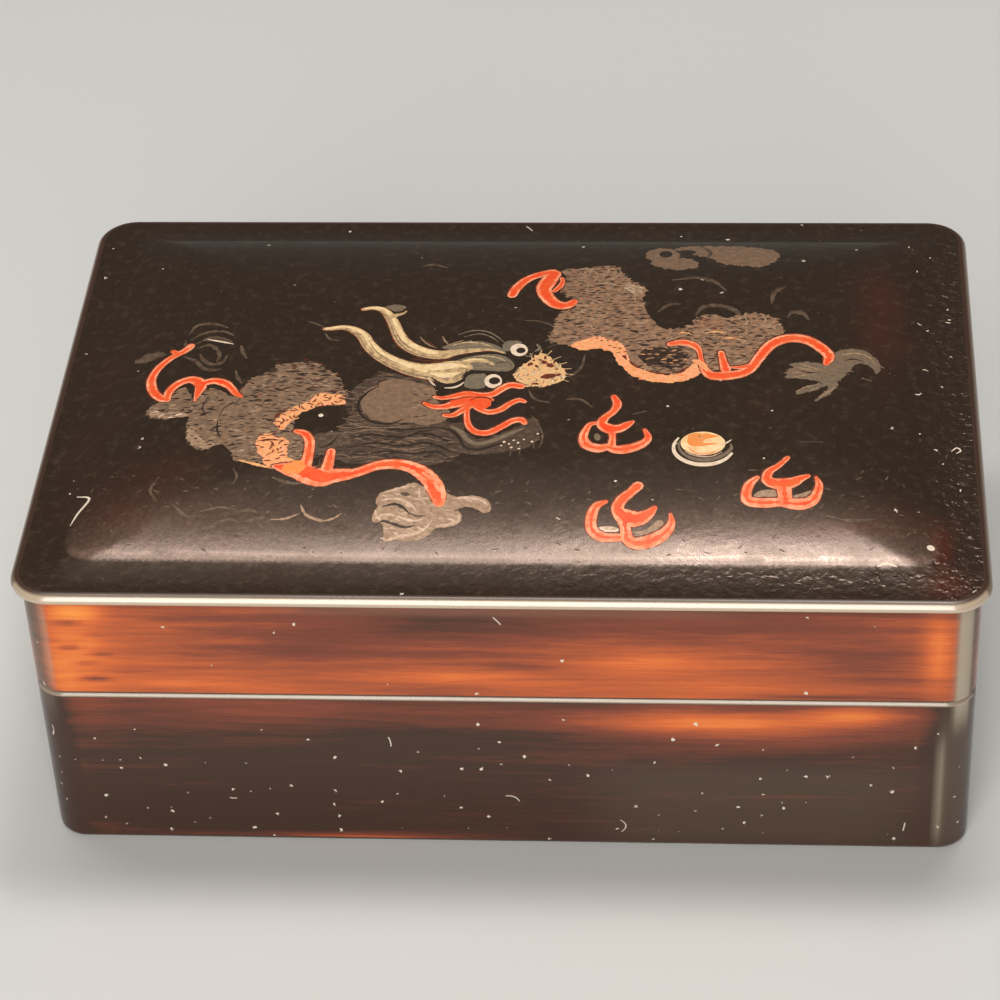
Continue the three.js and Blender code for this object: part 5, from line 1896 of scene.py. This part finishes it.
class LACQUERBOX_OT_stage(bpy.types.Operator):
    """Set up the studio: floor, lights and camera"""

    bl_idname = "lacquerbox.stage"
    bl_label = "Studio"

    def execute(self, context):
        _, colours, studio = settings(context)
        self.floor(colours)
        self.panel("overhead panel", (-0.04, 0.15, 0.9), (0, 0, 0), 0.62, 0.15, studio.overhead)
        self.panel("haze panel", (-0.05, 0.5, 0.96), (0, 0, 0), 0.8, 0.34, studio.haze)
        self.panel("crest panel", (0.1, 0.12, 0.9), (0, 0, 0), 0.26, 0.03, studio.crest)
        self.panel("front panel", (-0.07, -0.8, 0.83), (-0.07, 0, 0.83), 0.62, 1.6, studio.front)
        world = bpy.data.worlds.new("studio room")
        world.use_nodes = True
        back = world.node_tree.nodes["Background"]
        back.inputs["Color"].default_value = (1.0, 0.965, 0.92, 1.0)
        back.inputs["Strength"].default_value = studio.room
        context.scene.world = world
        context.scene.view_settings.view_transform = "Standard"
        self.camera(context)
        return {"FINISHED"}

    def floor(self, colours):
        """A plain pale floor."""
        mesh = bpy.data.meshes.new("floor")
        signs = ((-1, -1), (1, -1), (1, 1), (-1, 1))
        corners = [(x * FLOOR_REACH, y * FLOOR_REACH, 0) for x, y in signs]
        mesh.from_pydata(corners, [], [(0, 1, 2, 3)])
        material = bpy.data.materials.new("floor paper")
        material.use_nodes = True
        shader = material.node_tree.nodes["Principled BSDF"]
        shader.inputs["Base Color"].default_value = (*colours.floor, 1)
        shader.inputs["Roughness"].default_value = 0.9
        shader.inputs["Specular IOR Level"].default_value = 0.1
        mesh.materials.append(material)
        floor = bpy.data.objects.new("floor", mesh)
        bpy.context.scene.collection.objects.link(floor)

    def panel(self, name, place, target, width, height, power):
        """A soft light panel that faces a point."""
        light = bpy.data.lights.new(name, "AREA")
        light.shape = "RECTANGLE"
        light.size = width
        light.size_y = height
        light.energy = power
        light.color = (1.0, 0.94, 0.87)
        lamp = bpy.data.objects.new(name, light)
        lamp.location = place
        away = Vector(place) - Vector(target)
        lamp.rotation_mode = "QUATERNION"
        lamp.rotation_quaternion = away.to_track_quat("Z", "Y")
        lamp.visible_camera = False
        bpy.context.scene.collection.objects.link(lamp)

    def camera(self, context):
        """The camera at the photograph's angle."""
        place = Vector(CAMERA_PLACE) * MM
        yaw, pitch, roll = (math.radians(angle) for angle in CAMERA_TURN)
        forward = Vector(
            (math.sin(yaw) * math.cos(pitch), math.cos(yaw) * math.cos(pitch), -math.sin(pitch))
        )
        right = Vector((math.cos(yaw), -math.sin(yaw), 0))
        up = right.cross(forward)
        c, s = math.cos(roll), math.sin(roll)
        right, up = c * right + s * up, c * up - s * right
        data = bpy.data.cameras.new("camera")
        data.sensor_fit = "HORIZONTAL"
        data.sensor_width = 36
        data.lens = CAMERA_LENS
        data.clip_start = 0.02
        data.clip_end = 30
        camera = bpy.data.objects.new("camera", data)
        turn = Matrix((right, up, -forward)).transposed().to_4x4()
        camera.matrix_world = Matrix.Translation(place) @ turn
        context.scene.collection.objects.link(camera)
        context.scene.camera = camera


class LACQUERBOX_PT_panel(bpy.types.Panel):
    """Lists the pieces of the box and its settings"""

    bl_label = "Lacquer box"
    bl_idname = "LACQUERBOX_PT_panel"
    bl_space_type = "VIEW_3D"
    bl_region_type = "UI"
    bl_category = "Lacquer box"

    def draw(self, context):
        for operator in (LACQUERBOX_OT_stage, LACQUERBOX_OT_base, LACQUERBOX_OT_lid):
            self.layout.operator(operator.bl_idname)
        for group in settings(context):
            column = self.layout.column()
            for name in type(group).__annotations__:
                column.prop(group, name)


CLASSES = (
    LacquerBoxSizes,
    LacquerBoxColours,
    LacquerBoxStudio,
    LACQUERBOX_OT_base,
    LACQUERBOX_OT_lid,
    LACQUERBOX_OT_stage,
    LACQUERBOX_PT_panel,
)


def register():
    for cls in CLASSES:
        bpy.utils.register_class(cls)
    scene = bpy.types.Scene
    scene.lacquer_sizes = bpy.props.PointerProperty(type=LacquerBoxSizes)
    scene.lacquer_colours = bpy.props.PointerProperty(type=LacquerBoxColours)
    scene.lacquer_studio = bpy.props.PointerProperty(type=LacquerBoxStudio)


def unregister():
    for name in ("lacquer_sizes", "lacquer_colours", "lacquer_studio"):
        delattr(bpy.types.Scene, name)
    for cls in reversed(CLASSES):
        bpy.utils.unregister_class(cls)


def main():
    register()
    bpy.ops.lacquerbox.stage()
    bpy.ops.lacquerbox.base()
    bpy.ops.lacquerbox.lid()
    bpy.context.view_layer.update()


if __name__ == "__main__":
    main()
